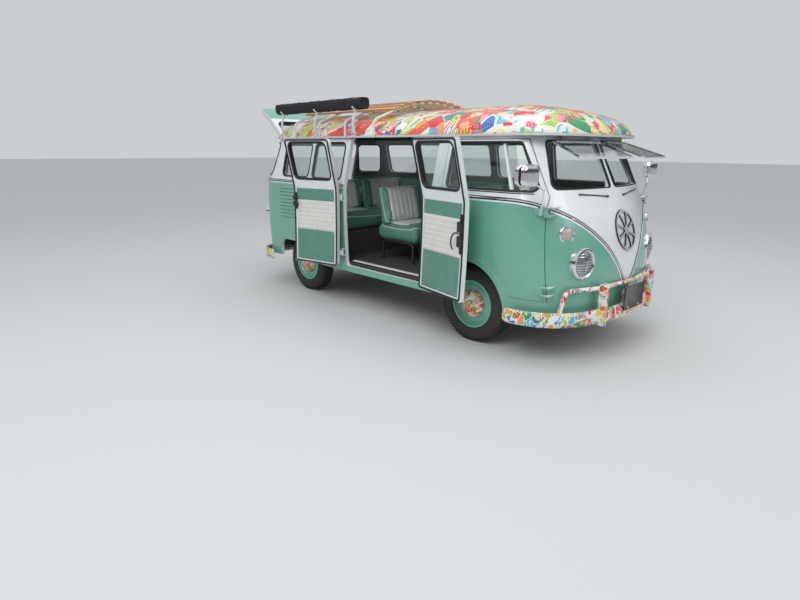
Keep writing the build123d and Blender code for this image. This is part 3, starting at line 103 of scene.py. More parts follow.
# Where rays start that look for the body's surface
BESIDE = 1.6
BEFORE_X = 2.0
BEHIND_X = -4.2
IN_TAIL_X = -2.6


def at(x: float, y: float, z: float) -> Vector:
    """Point of the frame from a place measured from the front axle."""
    return Vector((x, y, z)) + ORIGIN


def from_y(y: float) -> Callable[[Point2], Vector]:
    """Ray starts at one distance from the middle, for points given as x and z."""
    return lambda p: at(p[0], y, p[1])


def from_x(x: float) -> Callable[[Point2], Vector]:
    """Ray starts at one place along the bus, for points given as y and z."""
    return lambda p: at(x, p[0], p[1])


def v_line(y: float) -> float:
    """Height of the front trim line at a distance from the middle."""
    y = min(abs(y), V_END_Y)
    return min(BELT_Z, V_CURVE[0] + y * (V_CURVE[1] + y * (V_CURVE[2] + y * V_CURVE[3])))


class Side(Enum):
    """Left or right of the bus, with the sign of y."""

    LEFT = 1
    RIGHT = -1


# Node trees

def _operator(operation: str, turned: bool = False) -> Callable[["Wire", Value], "Wire"]:
    """Make one of Wire's operators.

    Args:
        operation: the Math node's operation.
        turned: whether the other value comes first.

    Returns:
        A method that adds the node and returns its result.
    """
    def apply(self: "Wire", other: Value) -> "Wire":
        """Add one Math node."""
        inputs = {0: other, 1: self} if turned else {0: self, 1: other}
        return self.graph.node("ShaderNodeMath", {"operation": operation}, inputs)

    return apply


class Wire:
    """One socket of a node tree, with arithmetic that adds the nodes it needs."""

    __add__ = __radd__ = _operator("ADD")
    __sub__ = _operator("SUBTRACT")
    __rsub__ = _operator("SUBTRACT", turned=True)
    __mul__ = __rmul__ = _operator("MULTIPLY")
    __truediv__ = _operator("DIVIDE")
    __gt__ = _operator("GREATER_THAN")
    __lt__ = _operator("LESS_THAN")

    def __init__(self, graph: "Graph", socket: bpy.types.NodeSocket) -> None:
        """Keep the graph and the output socket."""
        self.graph = graph
        self.socket = socket

    def pick(self, name: Union[str, int]) -> "Wire":
        """Another output of the same node."""
        return Wire(self.graph, self.socket.node.outputs[name])

    def maths(self, operation: str, *others: Value) -> "Wire":
        """A Math node with this socket first."""
        return self.graph.node("ShaderNodeMath", {"operation": operation}, dict(enumerate((self, *others))))

    def __abs__(self) -> "Wire":
        """Size without sign."""
        return self.maths("ABSOLUTE")

    def held(self, low: float, high: float) -> "Wire":
        """Kept between two limits."""
        return self.maths("MAXIMUM", low).maths("MINIMUM", high)

    def rise(self, low: float, high: float) -> "Wire":
        """Smooth step from 0 at low to 1 at high."""
        return self.graph.node("ShaderNodeMapRange", {"interpolation_type": "SMOOTHSTEP"},
                               {"Value": self, "From Min": low, "From Max": high})


class Graph:
    """A node tree that is written as expressions."""

    def __init__(self, tree: bpy.types.NodeTree) -> None:
        """Keep the tree."""
        self.tree = tree

    def node(self, kind: str, settings: Optional[dict] = None, inputs: Optional[dict] = None,
             output: Union[int, str] = 0) -> Wire:
        """Add one node.

        Args:
            kind: the node's type name.
            settings: attributes to set first; "stops" fills a colour ramp.
            inputs: values or wires by socket name or number.
            output: which output to return.

        Returns:
            The chosen output.
        """
        made = self.tree.nodes.new(kind)
        for name, value in (settings or {}).items():
            if name == "stops":
                self._fill_ramp(made.color_ramp, value)
            else:
                setattr(made, name, value)
        for key, value in (inputs or {}).items():
            socket = made.inputs[key]
            if isinstance(value, Wire):
                self.tree.links.new(value.socket, socket)
            else:
                socket.default_value = self._fitted(socket, value)
        return Wire(self, made.outputs[output]) if len(made.outputs) else Wire(self, made.inputs[0])

    @staticmethod
    def _fitted(socket: bpy.types.NodeSocket, value: Value) -> Value:
        """A colour gets its fourth number where the socket has one.

        Args:
            socket: that takes the value.
            value: a colour or anything else.

        Returns:
            The value as the socket takes it.
        """
        if socket.type == "RGBA" and isinstance(value, tuple) and len(value) == 3:
            return (*value, 1.0)
        return value

    @staticmethod
    def _fill_ramp(ramp: bpy.types.ColorRamp, stops: dict) -> None:
        """Set a ramp's way of blending and its colours.

        Args:
            ramp: of a ColorRamp node.
            stops: "way" of blending and "rows" of place and colour.
        """
        ramp.interpolation = stops["way"]
        rows = stops["rows"]
        while len(ramp.elements) < len(rows):
            ramp.elements.new(1.0)
        for element, (place, colour) in zip(ramp.elements, rows):
            element.position = place
            element.color = (*colour, 1.0)

    def mix(self, share: Value, low: Value, high: Value) -> Wire:
        """Blend two colours."""
        return self.node("ShaderNodeMix", {"data_type": "RGBA"}, {0: share, 6: low, 7: high}, 2)

    def blend(self, share: Value, low: Value, high: Value) -> Wire:
        """Blend two numbers."""
        return self.node("ShaderNodeMix", {"data_type": "FLOAT"}, {0: share, 2: low, 3: high}, 0)

    def place(self, centre: Vector = ORIGIN) -> Wire:
        """Object coordinates measured from a centre."""
        raw = self.node("ShaderNodeTexCoord", output="Object")
        return self.vector("SUBTRACT", raw, tuple(centre))

    def axes(self, vector: Wire) -> tuple[Wire, Wire, Wire]:
        """The three numbers of a vector."""
        x = self.node("ShaderNodeSeparateXYZ", inputs={0: vector})
        return x, x.pick(1), x.pick(2)

    def facing(self) -> tuple[Wire, Wire, Wire]:
        """The three numbers of the way a face looks."""
        return self.axes(self.node("ShaderNodeTexCoord", output="Normal"))

    def vector(self, operation: str, *inputs: Value, output: Union[int, str] = 0) -> Wire:
        """A Vector Math node.

        Args:
            operation: what it does.
            inputs: its vectors in order.
            output: "Vector" or "Value".

        Returns:
            The result.
        """
        return self.node("ShaderNodeVectorMath", {"operation": operation}, dict(enumerate(inputs)), output)

    def dot(self, first: Value, second: Value) -> Wire:
        """Dot product of two vectors."""
        return self.vector("DOT_PRODUCT", first, second, output="Value")

    def join(self, x: Value, y: Value, z: Value) -> Wire:
        """A vector from three numbers."""
        return self.node("ShaderNodeCombineXYZ", inputs={0: x, 1: y, 2: z})

    def noise(self, vector: Wire, scale: float, detail: float = 2.0, output: Union[int, str] = 0) -> Wire:
        """Noise from 0 to 1."""
        return self.node("ShaderNodeTexNoise", inputs={"Vector": vector, "Scale": scale, "Detail": detail},
                         output=output)

    def cells(self, vector: Wire, scale: float, feature: str = "F1", output: Union[int, str] = 0) -> Wire:
        """Voronoi cells."""
        return self.node("ShaderNodeTexVoronoi", {"feature": feature}, {"Vector": vector, "Scale": scale},
                         output)

    def bump(self, height: Wire, distance: float, strength: float = 1.0) -> Wire:
        """A Bump node from a height."""
        return self.node("ShaderNodeBump", inputs={"Height": height, "Distance": distance,
                                                    "Strength": strength})

    def ripple(self, place: Wire) -> Wire:
        """The faint unevenness of sprayed paint."""
        return self.bump(self.noise(place, 140.0, 1.0), 0.0004, 0.25)

    def surface(self, **sockets: Value) -> Wire:
        """A Principled shader; underscores in the names stand for spaces."""
        return self.node("ShaderNodeBsdfPrincipled",
                         inputs={name.replace("_", " "): value for name, value in sockets.items()})


# Finishes

@dataclass(frozen=True)
class Finish:
    """A finish by name, whose material is made once."""

    name: str

    def shade(self, graph: Graph) -> Wire:
        """The shader of this finish."""
        raise NotImplementedError

    def material(self) -> bpy.types.Material:
        """The Blender material of this finish.

        Returns:
            The material, made at its first use.
        """
        known = bpy.data.materials.get(self.name)
        if known:
            return known
        material = bpy.data.materials.new(self.name)
        material.use_nodes = True
        material.node_tree.nodes.clear()
        graph = Graph(material.node_tree)
        shader = self.shade(graph)
        graph.node("ShaderNodeOutputMaterial", inputs={"Surface": shader})
        return material


@dataclass(frozen=True)
class Enamel(Finish):
    """Glossy paint of one colour with a faint ripple and a little dust in its shine."""

    colour: Colour
    roughness: float = 0.28
    coat: float = 0.6

    def shade(self, graph: Graph) -> Wire:
        """Colour that varies a little, rougher where dusty.

        Args:
            graph: the material's tree.

        Returns:
            The shader.
        """
        place = graph.place()
        cloud = graph.noise(place, 3.0, 3.0)
        tone = graph.mix(cloud.rise(0.35, 0.75), self.colour, tuple(0.93 * c for c in self.colour))
        dust = graph.noise(place, 18.0, 4.0)
        return graph.surface(Base_Color=tone, Roughness=dust * 0.12 + (self.roughness - 0.06),
                             Coat_Weight=self.coat, Coat_Roughness=0.06, Normal=graph.ripple(place))


@dataclass(frozen=True)
class BodyPaint(Finish):
    """The body's two colours, split at the belt and along the front curve, and its inside trim."""

    lower: Colour
    upper: Colour
    jamb: Colour
    lining: Colour
    band: Point2 = (0.77, 1.07)
    spine: Point2 = (-2.75, 0.1)

    def shade(self, graph: Graph) -> Wire:
        """Mask the colours by height, by the front curve and by which way a face looks.

        Args:
            graph: the material's tree.

        Returns:
            The shader.
        """
        place = graph.place()
        x, y, z = graph.axes(place)
        side = abs(y).maths("MINIMUM", V_END_Y)
        curve = side * (side * (side * V_CURVE[3] + V_CURVE[2]) + V_CURVE[1]) + V_CURVE[0]
        line = graph.blend(x.rise(-0.02, 0.0), BELT_Z, curve.maths("MINIMUM", BELT_Z))
        above = (z - line).rise(-0.0015, 0.0015).maths("MAXIMUM", (abs(y) < V_FOOT_Y) * (x > 0.5))
        nx, ny, _nz = graph.facing()
        out_x = x - x.held(*self.spine)
        length = (out_x * out_x + y * y).maths("SQRT")
        outward = (nx * out_x + ny * y) / length
        cloud = graph.noise(place, 3.0, 3.0)
        dim = cloud.rise(0.4, 0.8) * 0.06
        lower = graph.mix(dim, self.lower, (0.0, 0.0, 0.0))
        upper = graph.mix(dim, self.upper, (0.0, 0.0, 0.0))
        paint = graph.mix(above, lower, upper)
        in_band = (z > self.band[0]) * (z < self.band[1])
        inside = graph.mix(above, graph.mix(in_band, lower, upper), self.lining)
        coloured = graph.mix(outward.rise(-0.35, -0.25), inside,
                             graph.mix(outward.rise(0.30, 0.40), self.jamb, paint))
        dust = graph.noise(place, 18.0, 4.0)
        low_dirt = z.rise(0.75, 0.40) * 0.10
        return graph.surface(Base_Color=coloured, Roughness=dust * 0.12 + low_dirt + 0.20,
                             Coat_Weight=outward.rise(0.2, 0.4) * 0.7, Coat_Roughness=0.05,
                             Normal=graph.ripple(place))


@dataclass(frozen=True)
class Stickers(Finish):
    """White paint under overlapping bright stickers of the builder's own blobs, stripes, dots and rings."""

    scale: float
    seed: float = 0.0
    border: float = 0.045
    shares: tuple[float, float, float] = (0.92, 0.66, 0.40)
    palette: tuple[Colour, ...] = (
        (0.66, 0.03, 0.04), (0.84, 0.60, 0.05), (0.03, 0.32, 0.12), (0.78, 0.10, 0.06), (0.05, 0.13, 0.48),
        (0.80, 0.80, 0.78), (0.88, 0.30, 0.05), (0.80, 0.30, 0.36), (0.42, 0.62, 0.10), (0.84, 0.70, 0.30),
        (0.10, 0.46, 0.60), (0.84, 0.82, 0.72),
    )

    def _pick(self, graph: Graph, number: Wire) -> Wire:
        """A palette colour from a number between 0 and 1.

        Args:
            graph: the tree.
            number: picks the colour.

        Returns:
            The colour.
        """
        count = len(self.palette)
        rows = [(i / count, colour) for i, colour in enumerate(self.palette)]
        return graph.node("ShaderNodeValToRGB", {"stops": {"way": "CONSTANT", "rows": rows}}, {0: number})

    def _layer(self, graph: Graph, place: Wire, scale: float, shift: float, under: Wire,
               share: float) -> Wire:
        """One layer of stickers over what is below.

        Args:
            graph: the tree.
            place: coordinates.
            scale: stickers in a metre.
            shift: moves the pattern so that layers differ.
            under: colour below.
            share: how many of the cells hold a sticker.

        Returns:
            The colour with this layer on it.
        """
        moved = graph.vector("ADD", place, (shift, shift * 0.7, 0.0))
        chance = graph.cells(moved, scale, "F1", "Color")
        red, green, blue = graph.axes(chance)
        middle = graph.cells(moved, scale, "F1", "Distance")
        edge = graph.cells(moved, scale, "DISTANCE_TO_EDGE", "Distance")
        body = self._pick(graph, red)
        second = self._pick(graph, (green + 0.37).maths("FRACT"))
        third = self._pick(graph, (blue + 0.61).maths("FRACT"))
        waves = graph.node("ShaderNodeTexWave", inputs={"Vector": moved, "Scale": scale * 1.3,
                                                         "Distortion": 5.0, "Detail": 1.0}, output="Fac")
        rings = (middle * 26.0).maths("SINE") > 0.2
        motif = graph.mix((green > 0.5) * (waves > 0.62), body, second)
        motif = graph.mix((green < 0.5) * rings * (middle < 0.30), motif, second)
        motif = graph.mix((middle < 0.14) * (blue > 0.35), motif, third)
        outline = (middle > 0.14) * (middle < 0.165) * (blue > 0.35)
        motif = graph.mix(outline, motif, (0.02, 0.02, 0.03))
        motif = graph.mix(edge < self.border, motif, (0.83, 0.83, 0.82))
        return graph.mix((edge > 0.018) * (red.maths("MULTIPLY", 7.31).maths("FRACT") < share), under, motif)

    def film(self, graph: Graph) -> Wire:
        """Three layers, large to small, each bent by noise so that no edge is straight.

        Args:
            graph: the tree.

        Returns:
            The film's colour.
        """
        place = graph.place()
        bent = graph.noise(place, self.scale * 0.9, 2.0, "Color")
        place = graph.vector("MULTIPLY_ADD", bent, (0.45 / self.scale,) * 3, place)
        colour = graph.mix(graph.noise(place, 5.0), (0.82, 0.83, 0.84), (0.76, 0.78, 0.80))
        for scale, shift, share in zip((1.0, 1.7, 3.1), (3.1, 11.7, 23.3), self.shares):
            colour = self._layer(graph, place, self.scale * scale, shift + self.seed, colour, share)
        return colour

    def shade(self, graph: Graph) -> Wire:
        """The film with its uneven gloss."""
        return self._gloss(graph, self.film(graph), 1.0)

    def _gloss(self, graph: Graph, colour: Wire, share: Value) -> Wire:
        """A shader for the film, with its bubbles where share is 1.

        Args:
            graph: the tree.
            colour: of the film.
            share: how much the bubbles show.

        Returns:
            The shader.
        """
        place = graph.place()
        rough = graph.noise(place, 60.0, 2.0)
        bubbles = graph.bump(graph.noise(place, 90.0, 3.0) * share, 0.0008, 0.3)
        return graph.surface(Base_Color=colour, Roughness=rough * 0.2 + 0.28, Coat_Weight=0.35,
                             Coat_Roughness=0.12, Normal=bubbles)


@dataclass(frozen=True)
class RoofSkin(Stickers):
    """Stickers all over the dome, a plain lip round its foot and a dark lining below."""

    lip: Colour = (0.60, 0.63, 0.65)
    lining: Colour = (0.050, 0.050, 0.048)
    lip_z: float = 1.692
    spine: Point2 = (-2.3, -0.3)
    spine_z: float = 1.20

    def shade(self, graph: Graph) -> Wire:
        """Mask the film by height and by which way a face looks.

        Args:
            graph: the material's tree.

        Returns:
            The shader.
        """
        x, y, z = graph.axes(graph.place())
        nx, ny, nz = graph.facing()
        out_x = x - x.held(*self.spine)
        out_z = z - self.spine_z
        outward = (nx * out_x + ny * y + nz * out_z) / (out_x * out_x + y * y + out_z * out_z).maths("SQRT")
        outside = outward.rise(-0.10, 0.0)
        colour = graph.mix(z > self.lip_z, self.lip, self.film(graph))
        return self._gloss(graph, graph.mix(outside, self.lining, colour), outside)


@dataclass(frozen=True)
class CapAndRim(Finish):
    """A painted rim whose domed cap is covered in stickers, with painted shade in the well round the cap."""

    centre: Point3
    cap_r: float
    paint: Colour

    def shade(self, graph: Graph) -> Wire:
        """Stickers inside the cap's radius, paint outside, with painted shade in the step between.

        Args:
            graph: the material's tree.

        Returns:
            The shader.
        """
        film = Stickers(self.name + "_film", 15.0, self.centre[0] * 3.0 + self.centre[1], 0.02,
                        (1.0, 0.8, 0.5)).film(graph)
        x, _y, z = graph.axes(graph.place(Vector(self.centre)))
        radius = (x * x + z * z).maths("SQRT")
        # painted shade: the rim's paint turns nearly black towards the cap's foot, in the well round the cap
        groove = radius.rise(self.cap_r + 0.014, self.cap_r + 0.002)
        paint = graph.mix(groove * 0.55, self.paint, (0.01, 0.02, 0.02))
        colour = graph.mix(radius > self.cap_r + 0.0006, film, paint)
        dust = graph.noise(graph.place(), 40.0, 4.0)
        return graph.surface(Base_Color=colour, Roughness=dust * 0.25 + 0.22, Coat_Weight=0.5,
                             Coat_Roughness=0.08)


@dataclass(frozen=True)
class Metal(Finish):
    """Bright or brushed metal with faint handling marks."""

    colour: Colour = (0.80, 0.81, 0.83)
    roughness: float = 0.07
    marks: float = 0.10

    def shade(self, graph: Graph) -> Wire:
        """Metal whose roughness varies.

        Args:
            graph: the material's tree.

        Returns:
            The shader.
        """
        place = graph.place()
        marks = graph.noise(place, 45.0, 4.0)
        bump = graph.bump(graph.noise(place, 25.0, 1.0), 0.0006, 0.15)
        return graph.surface(Base_Color=self.colour, Metallic=1.0,
                             Roughness=marks * self.marks + self.roughness, Normal=bump)


@dataclass(frozen=True)
class Rubber(Finish):
    """Dull rubber or plastic with a fine grain."""

    colour: Colour = (0.012, 0.012, 0.013)
    roughness: float = 0.55
    grain: float = 600.0

    def shade(self, graph: Graph) -> Wire:
        """Grain and a chalky bloom.

        Args:
            graph: the material's tree.

        Returns:
            The shader.
        """
        place = graph.place()
        bloom = graph.noise(place, 9.0, 4.0)
        tone = graph.mix(bloom.rise(0.45, 0.8) * 0.35, self.colour, (0.06, 0.06, 0.06))
        grain = graph.bump(graph.noise(place, self.grain, 2.0), 0.0004, 0.4)
        return graph.surface(Base_Color=tone, Roughness=bloom * 0.2 + (self.roughness - 0.1), Normal=grain)


@dataclass(frozen=True)
class Pane(Finish):
    """Thin clear glass: what is behind it shows, with the shine of its face."""

    tint: Colour = (0.93, 0.965, 0.955)

    def shade(self, graph: Graph) -> Wire:
        """Transparent below, mirror above, by the angle of the face.

        Args:
            graph: the material's tree.

        Returns:
            The shader.
        """
        clear = graph.node("ShaderNodeBsdfTransparent", inputs={"Color": self.tint})
        mirror = graph.node("ShaderNodeBsdfGlossy", inputs={"Color": (1.0, 1.0, 1.0), "Roughness": 0.02})
        edge = graph.node("ShaderNodeLayerWeight", inputs={"Blend": 0.5}, output="Facing")
        share = edge.maths("POWER", 4.0) * 0.55 + 0.035
        return graph.node("ShaderNodeMixShader", inputs={0: share, 1: clear, 2: mirror})


@dataclass(frozen=True)
class Vinyl(Finish):
    """Vinyl of the trim panels and piping, with a pebbled grain."""

    colour: Colour
    roughness: float = 0.42

    def shade(self, graph: Graph) -> Wire:
        """Pebbles, and a shade that varies with wear.

        Args:
            graph: the material's tree.

        Returns:
            The shader.
        """
        place = graph.place()
        wear = graph.noise(place, 7.0, 3.0)
        tone = graph.mix(wear.rise(0.3, 0.8), self.colour, tuple(0.86 * c for c in self.colour))
        pebbles = graph.cells(place, 520.0, "SMOOTH_F1", "Distance")
        grain = graph.bump(pebbles, 0.0005, 0.35)
        return graph.surface(Base_Color=tone, Roughness=wear * 0.15 + (self.roughness - 0.07), Normal=grain)


@dataclass(frozen=True)
class Cloth(Finish):
    """Coated cloth with a fine weave and creases."""

    colour: Colour = (0.012, 0.012, 0.014)
    roughness: float = 0.38

    def shade(self, graph: Graph) -> Wire:
        """Creases over a weave.

        Args:
            graph: the material's tree.

        Returns:
            The shader.
        """
        place = graph.place()
        x, _y, z = graph.axes(place)
        crease = graph.noise(place, 14.0, 5.0)
        weave = ((x * 2600.0).maths("SINE") * (z * 2600.0).maths("SINE")) * 0.12
        tone = graph.mix(crease.rise(0.4, 0.8) * 0.4, self.colour, (0.05, 0.05, 0.055))
        return graph.surface(Base_Color=tone, Roughness=crease * 0.3 + (self.roughness - 0.1),
                             Normal=graph.bump(crease + weave, 0.004, 0.5))


@dataclass(frozen=True)
class LampSet(Finish):
    """Chrome bezels and guards with clear, smoked and red lenses, told apart by place."""

    chrome: Colour = (0.80, 0.81, 0.83)
    clear: Colour = (0.30, 0.32, 0.34)
    smoked: Colour = (0.46, 0.41, 0.35)
    red: Colour = (0.30, 0.008, 0.010)
    head: tuple[Point3, float] = ((0.872, 0.556, 0.774), 10.0)      # centre and turn of each lamp
    side: tuple[Point3, float] = ((0.770, 0.658, 0.990), 28.0)
    tail: tuple[Point3, float] = ((-3.080, 0.690, 0.830), 168.7)

    def _lamp(self, graph: Graph, place: Wire, centre: Point3, turn: float) -> tuple[Wire, Wire]:
        """Distance from a lamp's axis and height over its plane.

        Args:
            graph: the tree.
            place: coordinates with both sides of the bus folded onto the left.
            centre: of the lamp.
            turn: how far its axis is turned from x towards y, in degrees.

        Returns:
            The distance and the height.
        """
        away = graph.vector("SUBTRACT", place, centre)
        out = (math.cos(math.radians(turn)), math.sin(math.radians(turn)), 0.0)
        height = graph.dot(away, out)
        length = graph.dot(away, away)
        return (length - height * height).maths("MAXIMUM", 0.0).maths("SQRT"), height

    def shade(self, graph: Graph) -> Wire:
        """Pick the lens by place, and chrome where a face stands proud of it.

        Args:
            graph: the material's tree.

        Returns:
            The shader.
        """
        x, y, z = graph.axes(graph.place())
        folded = graph.join(x, abs(y), z)
        head_r, head_h = self._lamp(graph, folded, *self.head)
        side_r, _side_h = self._lamp(graph, folded, *self.side)
        tail_r, _tail_h = self._lamp(graph, folded, *self.tail)
        guard = (head_h > head_r * head_r * -1.813 + 0.0198).maths("MAXIMUM", head_r > 0.0955)
        at_side, at_tail = z > 0.90, x < -2.0
        bright = graph.blend(at_side, guard, side_r > 0.0505)
        bright = graph.blend(at_tail, bright, tail_r > 0.043)
        lens = graph.mix(at_tail, graph.mix(at_side, self.clear, self.smoked), self.red)
        flutes = (graph.blend(at_side, y * 900.0, side_r * 700.0)).maths("SINE") * (1.0 - bright)
        return graph.surface(Base_Color=graph.mix(bright, lens, self.chrome),
                             Metallic=graph.blend(bright, (x > 0.86) * 0.35, 1.0),
                             Roughness=graph.blend(bright, 0.16, 0.07), Coat_Weight=1.0 - bright,
                             Normal=graph.bump(flutes, 0.0008, 0.5))


@dataclass(frozen=True)
class TrimSet(Finish):
    """The ring badge, bright in front with black sides, and the black wipers above it."""

    chrome: Colour = (0.80, 0.81, 0.83)
    black: Colour = (0.014, 0.014, 0.015)

    def shade(self, graph: Graph) -> Wire:
        """Chrome where a face of the badge looks forward.

        Args:
            graph: the material's tree.

        Returns:
            The shader.
        """
        _x, _y, z = graph.axes(graph.place())
        nx, _ny, _nz = graph.facing()
        bright = (z < 1.20) * nx.rise(0.70, 0.80)
        marks = graph.noise(graph.place(), 45.0, 4.0)
        return graph.surface(Base_Color=graph.mix(bright, self.black, self.chrome), Metallic=bright * 0.5,
                             Roughness=graph.blend(bright, 0.42, 0.20) + marks * 0.08, Coat_Weight=bright)


@dataclass(frozen=True)
class Rack(Finish):
    """Varnished slats on pale painted bows and legs, told apart by their distance from the arch's centre."""

    light: Colour = (0.66, 0.30, 0.09)
    dark: Colour = (0.36, 0.13, 0.035)
    paint: Colour = (0.66, 0.69, 0.71)
    arch_z: float = 0.394
    seat_r: float = 1.6275
    slat_half: float = 0.62

    def shade(self, graph: Graph) -> Wire:
        """Grain along the slats, enamel elsewhere.

        Args:
            graph: the material's tree.

        Returns:
            The shader.
        """
        place = graph.place()
        x, y, z = graph.axes(place)
        up = z - self.arch_z
        wood = ((y * y + up * up).maths("SQRT") > self.seat_r) * (abs(y) < self.slat_half)
        stretched = graph.join(x * 0.7, y * 14.0, z * 14.0)
        streaks = graph.noise(stretched, 3.0, 6.0)
        rings = graph.node("ShaderNodeTexWave", {"bands_direction": "Y"},
                           {"Vector": stretched, "Scale": 1.1, "Distortion": 6.0, "Detail": 3.0}, "Fac")
        plank = graph.noise(graph.join(0.0, y * 10.0, 0.0), 2.0, 0.0)
        grain = graph.mix((streaks * 0.6 + rings * 0.4).rise(0.25, 0.8), self.dark, self.light)
        grain = graph.mix(plank.rise(0.3, 0.7) * 0.3, grain, (0.80, 0.46, 0.18))
        return graph.surface(Base_Color=graph.mix(wood, self.paint, grain), Roughness=streaks * 0.2 + 0.26,
                             Coat_Weight=0.4, Coat_Roughness=0.12,
                             Normal=graph.bump(streaks * wood, 0.0006, 0.4))


@dataclass(frozen=True)
class BenchVinyl(Finish):
    """Green seat vinyl with pale channelled centres on the back and on top of the cushion."""

    bands: tuple[Point2, ...]
    roll_x: float
    back_z: float
    green: Colour = (0.105, 0.285, 0.215)
    white: Colour = (0.74, 0.74, 0.70)

    def shade(self, graph: Graph) -> Wire:
        """Pale inside the bands, where a face looks forward or up.

        Args:
            graph: the material's tree.

        Returns:
            The shader.
        """
        place = graph.place()
        x, y, z = graph.axes(place)
        nx, _ny, nz = graph.facing()
        in_band: Value = 0.0
        for low, high in self.bands:
            in_band = (y > low) * (y < high) + in_band
        on_back = (nx + nz).rise(0.30, 0.36) * (z > self.back_z)
        on_top = nz.rise(0.50, 0.55) * (x < self.roll_x) * (z < self.back_z)
        pale = in_band * on_back.maths("MAXIMUM", on_top)
        wear = graph.noise(place, 7.0, 3.0)
        tone = graph.mix(pale, self.green, self.white)
        tone = graph.mix(wear.rise(0.35, 0.8) * 0.10, tone, (0.02, 0.03, 0.03))
        creases = graph.noise(place, 26.0, 3.0)
        pebbles = graph.cells(place, 520.0, "SMOOTH_F1", "Distance") * 0.12
        return graph.surface(Base_Color=tone, Roughness=wear * 0.15 + 0.33,
                             Normal=graph.bump(creases + pebbles, 0.003, 0.35))


@dataclass(frozen=True)
class HubAndRim(Finish):
    """A cream steering wheel with a bright horn button."""

    centre: Point3
    axis: Point3
    cream: Colour = (0.74, 0.72, 0.62)
    button_r: float = 0.034

    def shade(self, graph: Graph) -> Wire:
        """Bright within the button's radius.

        Args:
            graph: the material's tree.

        Returns:
            The shader.
        """
        away = graph.place(Vector(self.centre))
        height = graph.dot(away, self.axis)
        length = graph.dot(away, away)
        bright = (length - height * height).maths("SQRT") < self.button_r
        return graph.surface(Base_Color=graph.mix(bright, self.cream, (0.8, 0.81, 0.83)), Metallic=bright,
                             Roughness=graph.blend(bright, 0.32, 0.08), Coat_Weight=0.3)


@dataclass(frozen=True)
class FloorMat(Finish):
    """A black mat with ribs along the bus on the floors, painted steel below."""

    black: Colour = (0.020, 0.020, 0.021)

    def shade(self, graph: Graph) -> Wire:
        """Ribs on faces that look up.

        Args:
            graph: the material's tree.

        Returns:
            The shader.
        """
        place = graph.place()
        _x, y, _z = graph.axes(place)
        _nx, _ny, nz = graph.facing()
        ribs = (y * 420.0).maths("SINE") * nz.rise(0.5, 0.6)
        dust = graph.noise(place, 6.0, 4.0)
        tone = graph.mix(dust.rise(0.45, 0.8) * 0.4, self.black, (0.07, 0.068, 0.065))
        return graph.surface(Base_Color=tone, Roughness=dust * 0.2 + 0.5,
                             Normal=graph.bump(ribs, 0.0015, 0.6))


@dataclass(frozen=True)
class SwungPaint(Finish):
    """Paint of a leaf that stands open: two-tone outside, white frame inside."""

    lower: Colour
    upper: Colour
    outward: Point3
    upward: Point3 = (0.0, 0.0, 1.0)
    pivot: Point3 = (0.0, 0.0, 0.0)

    def shade(self, graph: Graph) -> Wire:
        """Two-tone where the face looks outwards, white elsewhere.

        Args:
            graph: the material's tree.

        Returns:
            The shader.
        """
        place = graph.place()
        away = graph.vector("SUBTRACT", place, self.pivot)
        height = graph.dot(away, self.upward) + self.pivot[2]
        normal = graph.node("ShaderNodeTexCoord", output="Normal")
        out = graph.dot(normal, self.outward)
        two = graph.mix((height - BELT_Z).rise(-0.0015, 0.0015), self.lower, self.upper)
        tone = graph.mix(out.rise(0.5, 0.6), self.upper, two)
        dust = graph.noise(place, 18.0, 4.0)
        return graph.surface(Base_Color=tone, Roughness=dust * 0.12 + 0.22, Coat_Weight=0.6,
                             Coat_Roughness=0.06, Normal=graph.ripple(place))


@dataclass(frozen=True)
class PlainGround(Finish):
    """Pale ground that the camera sees as even as the backdrop."""

    colour: Colour = (0.62, 0.63, 0.64)

    def shade(self, graph: Graph) -> Wire:
        """A matt floor with a faint mottling.

        Args:
            graph: the material's tree.

        Returns:
            The shader.
        """
        place = graph.place()
        cloud = graph.noise(place, 1.5, 3.0)
        tone = graph.mix(cloud * 0.05, self.colour, (0.6, 0.6, 0.6))
        return graph.surface(Base_Color=tone, Roughness=0.8, Specular_IOR_Level=0.2)


Finishes = Union[Finish, Sequence[Finish]]

MINT = (0.165, 0.430, 0.330)
WHITE = (0.78, 0.82, 0.84)
WHITE_ENAMEL = Enamel("white_enamel", WHITE)
BODY_PAINT = BodyPaint("body_paint", MINT, WHITE, WHITE, (0.16, 0.17, 0.17))
ROOF_STICKERS = RoofSkin("roof_stickers", 3.7, 0.4, 0.024, (1.0, 0.62, 0.40))
BUMPER_STICKERS = Stickers("bumper_stickers", 8.0, 4.2, 0.060, (0.85, 0.62, 0.50))
CHROME = Metal("chrome")
SATIN_METAL = Metal("satin_metal", (0.62, 0.63, 0.64), 0.28, 0.2)
BLACK_RUBBER = Rubber("black_rubber")
TYRE_RUBBER = Rubber("tyre_rubber", (0.014, 0.014, 0.015), 0.72, 240.0)
GLASS = Pane("window_glass")
GREEN_VINYL = Vinyl("green_vinyl", (0.115, 0.290, 0.225))
WHITE_VINYL = Vinyl("white_vinyl", (0.74, 0.74, 0.70))
AWNING_CLOTH = Cloth("awning_cloth")
BLACK_STEEL = Enamel("black_steel", (0.016, 0.016, 0.017), 0.45, 0.1)
PLATE_FACE = Enamel("plate_face", (0.020, 0.020, 0.021), 0.35, 0.3)
CREAM = Enamel("cream_plastic", (0.74, 0.72, 0.62), 0.3, 0.3)
DASH_PAINT = Enamel("dash_paint", (0.72, 0.75, 0.76), 0.3, 0.4)
LAMPS = LampSet("lamp_set")
NOSE_TRIM = TrimSet("nose_trim_set")
RACK_PAINT = Rack("rack_finish")
FLOOR_MAT = FloorMat("floor_mat")


# Geometry

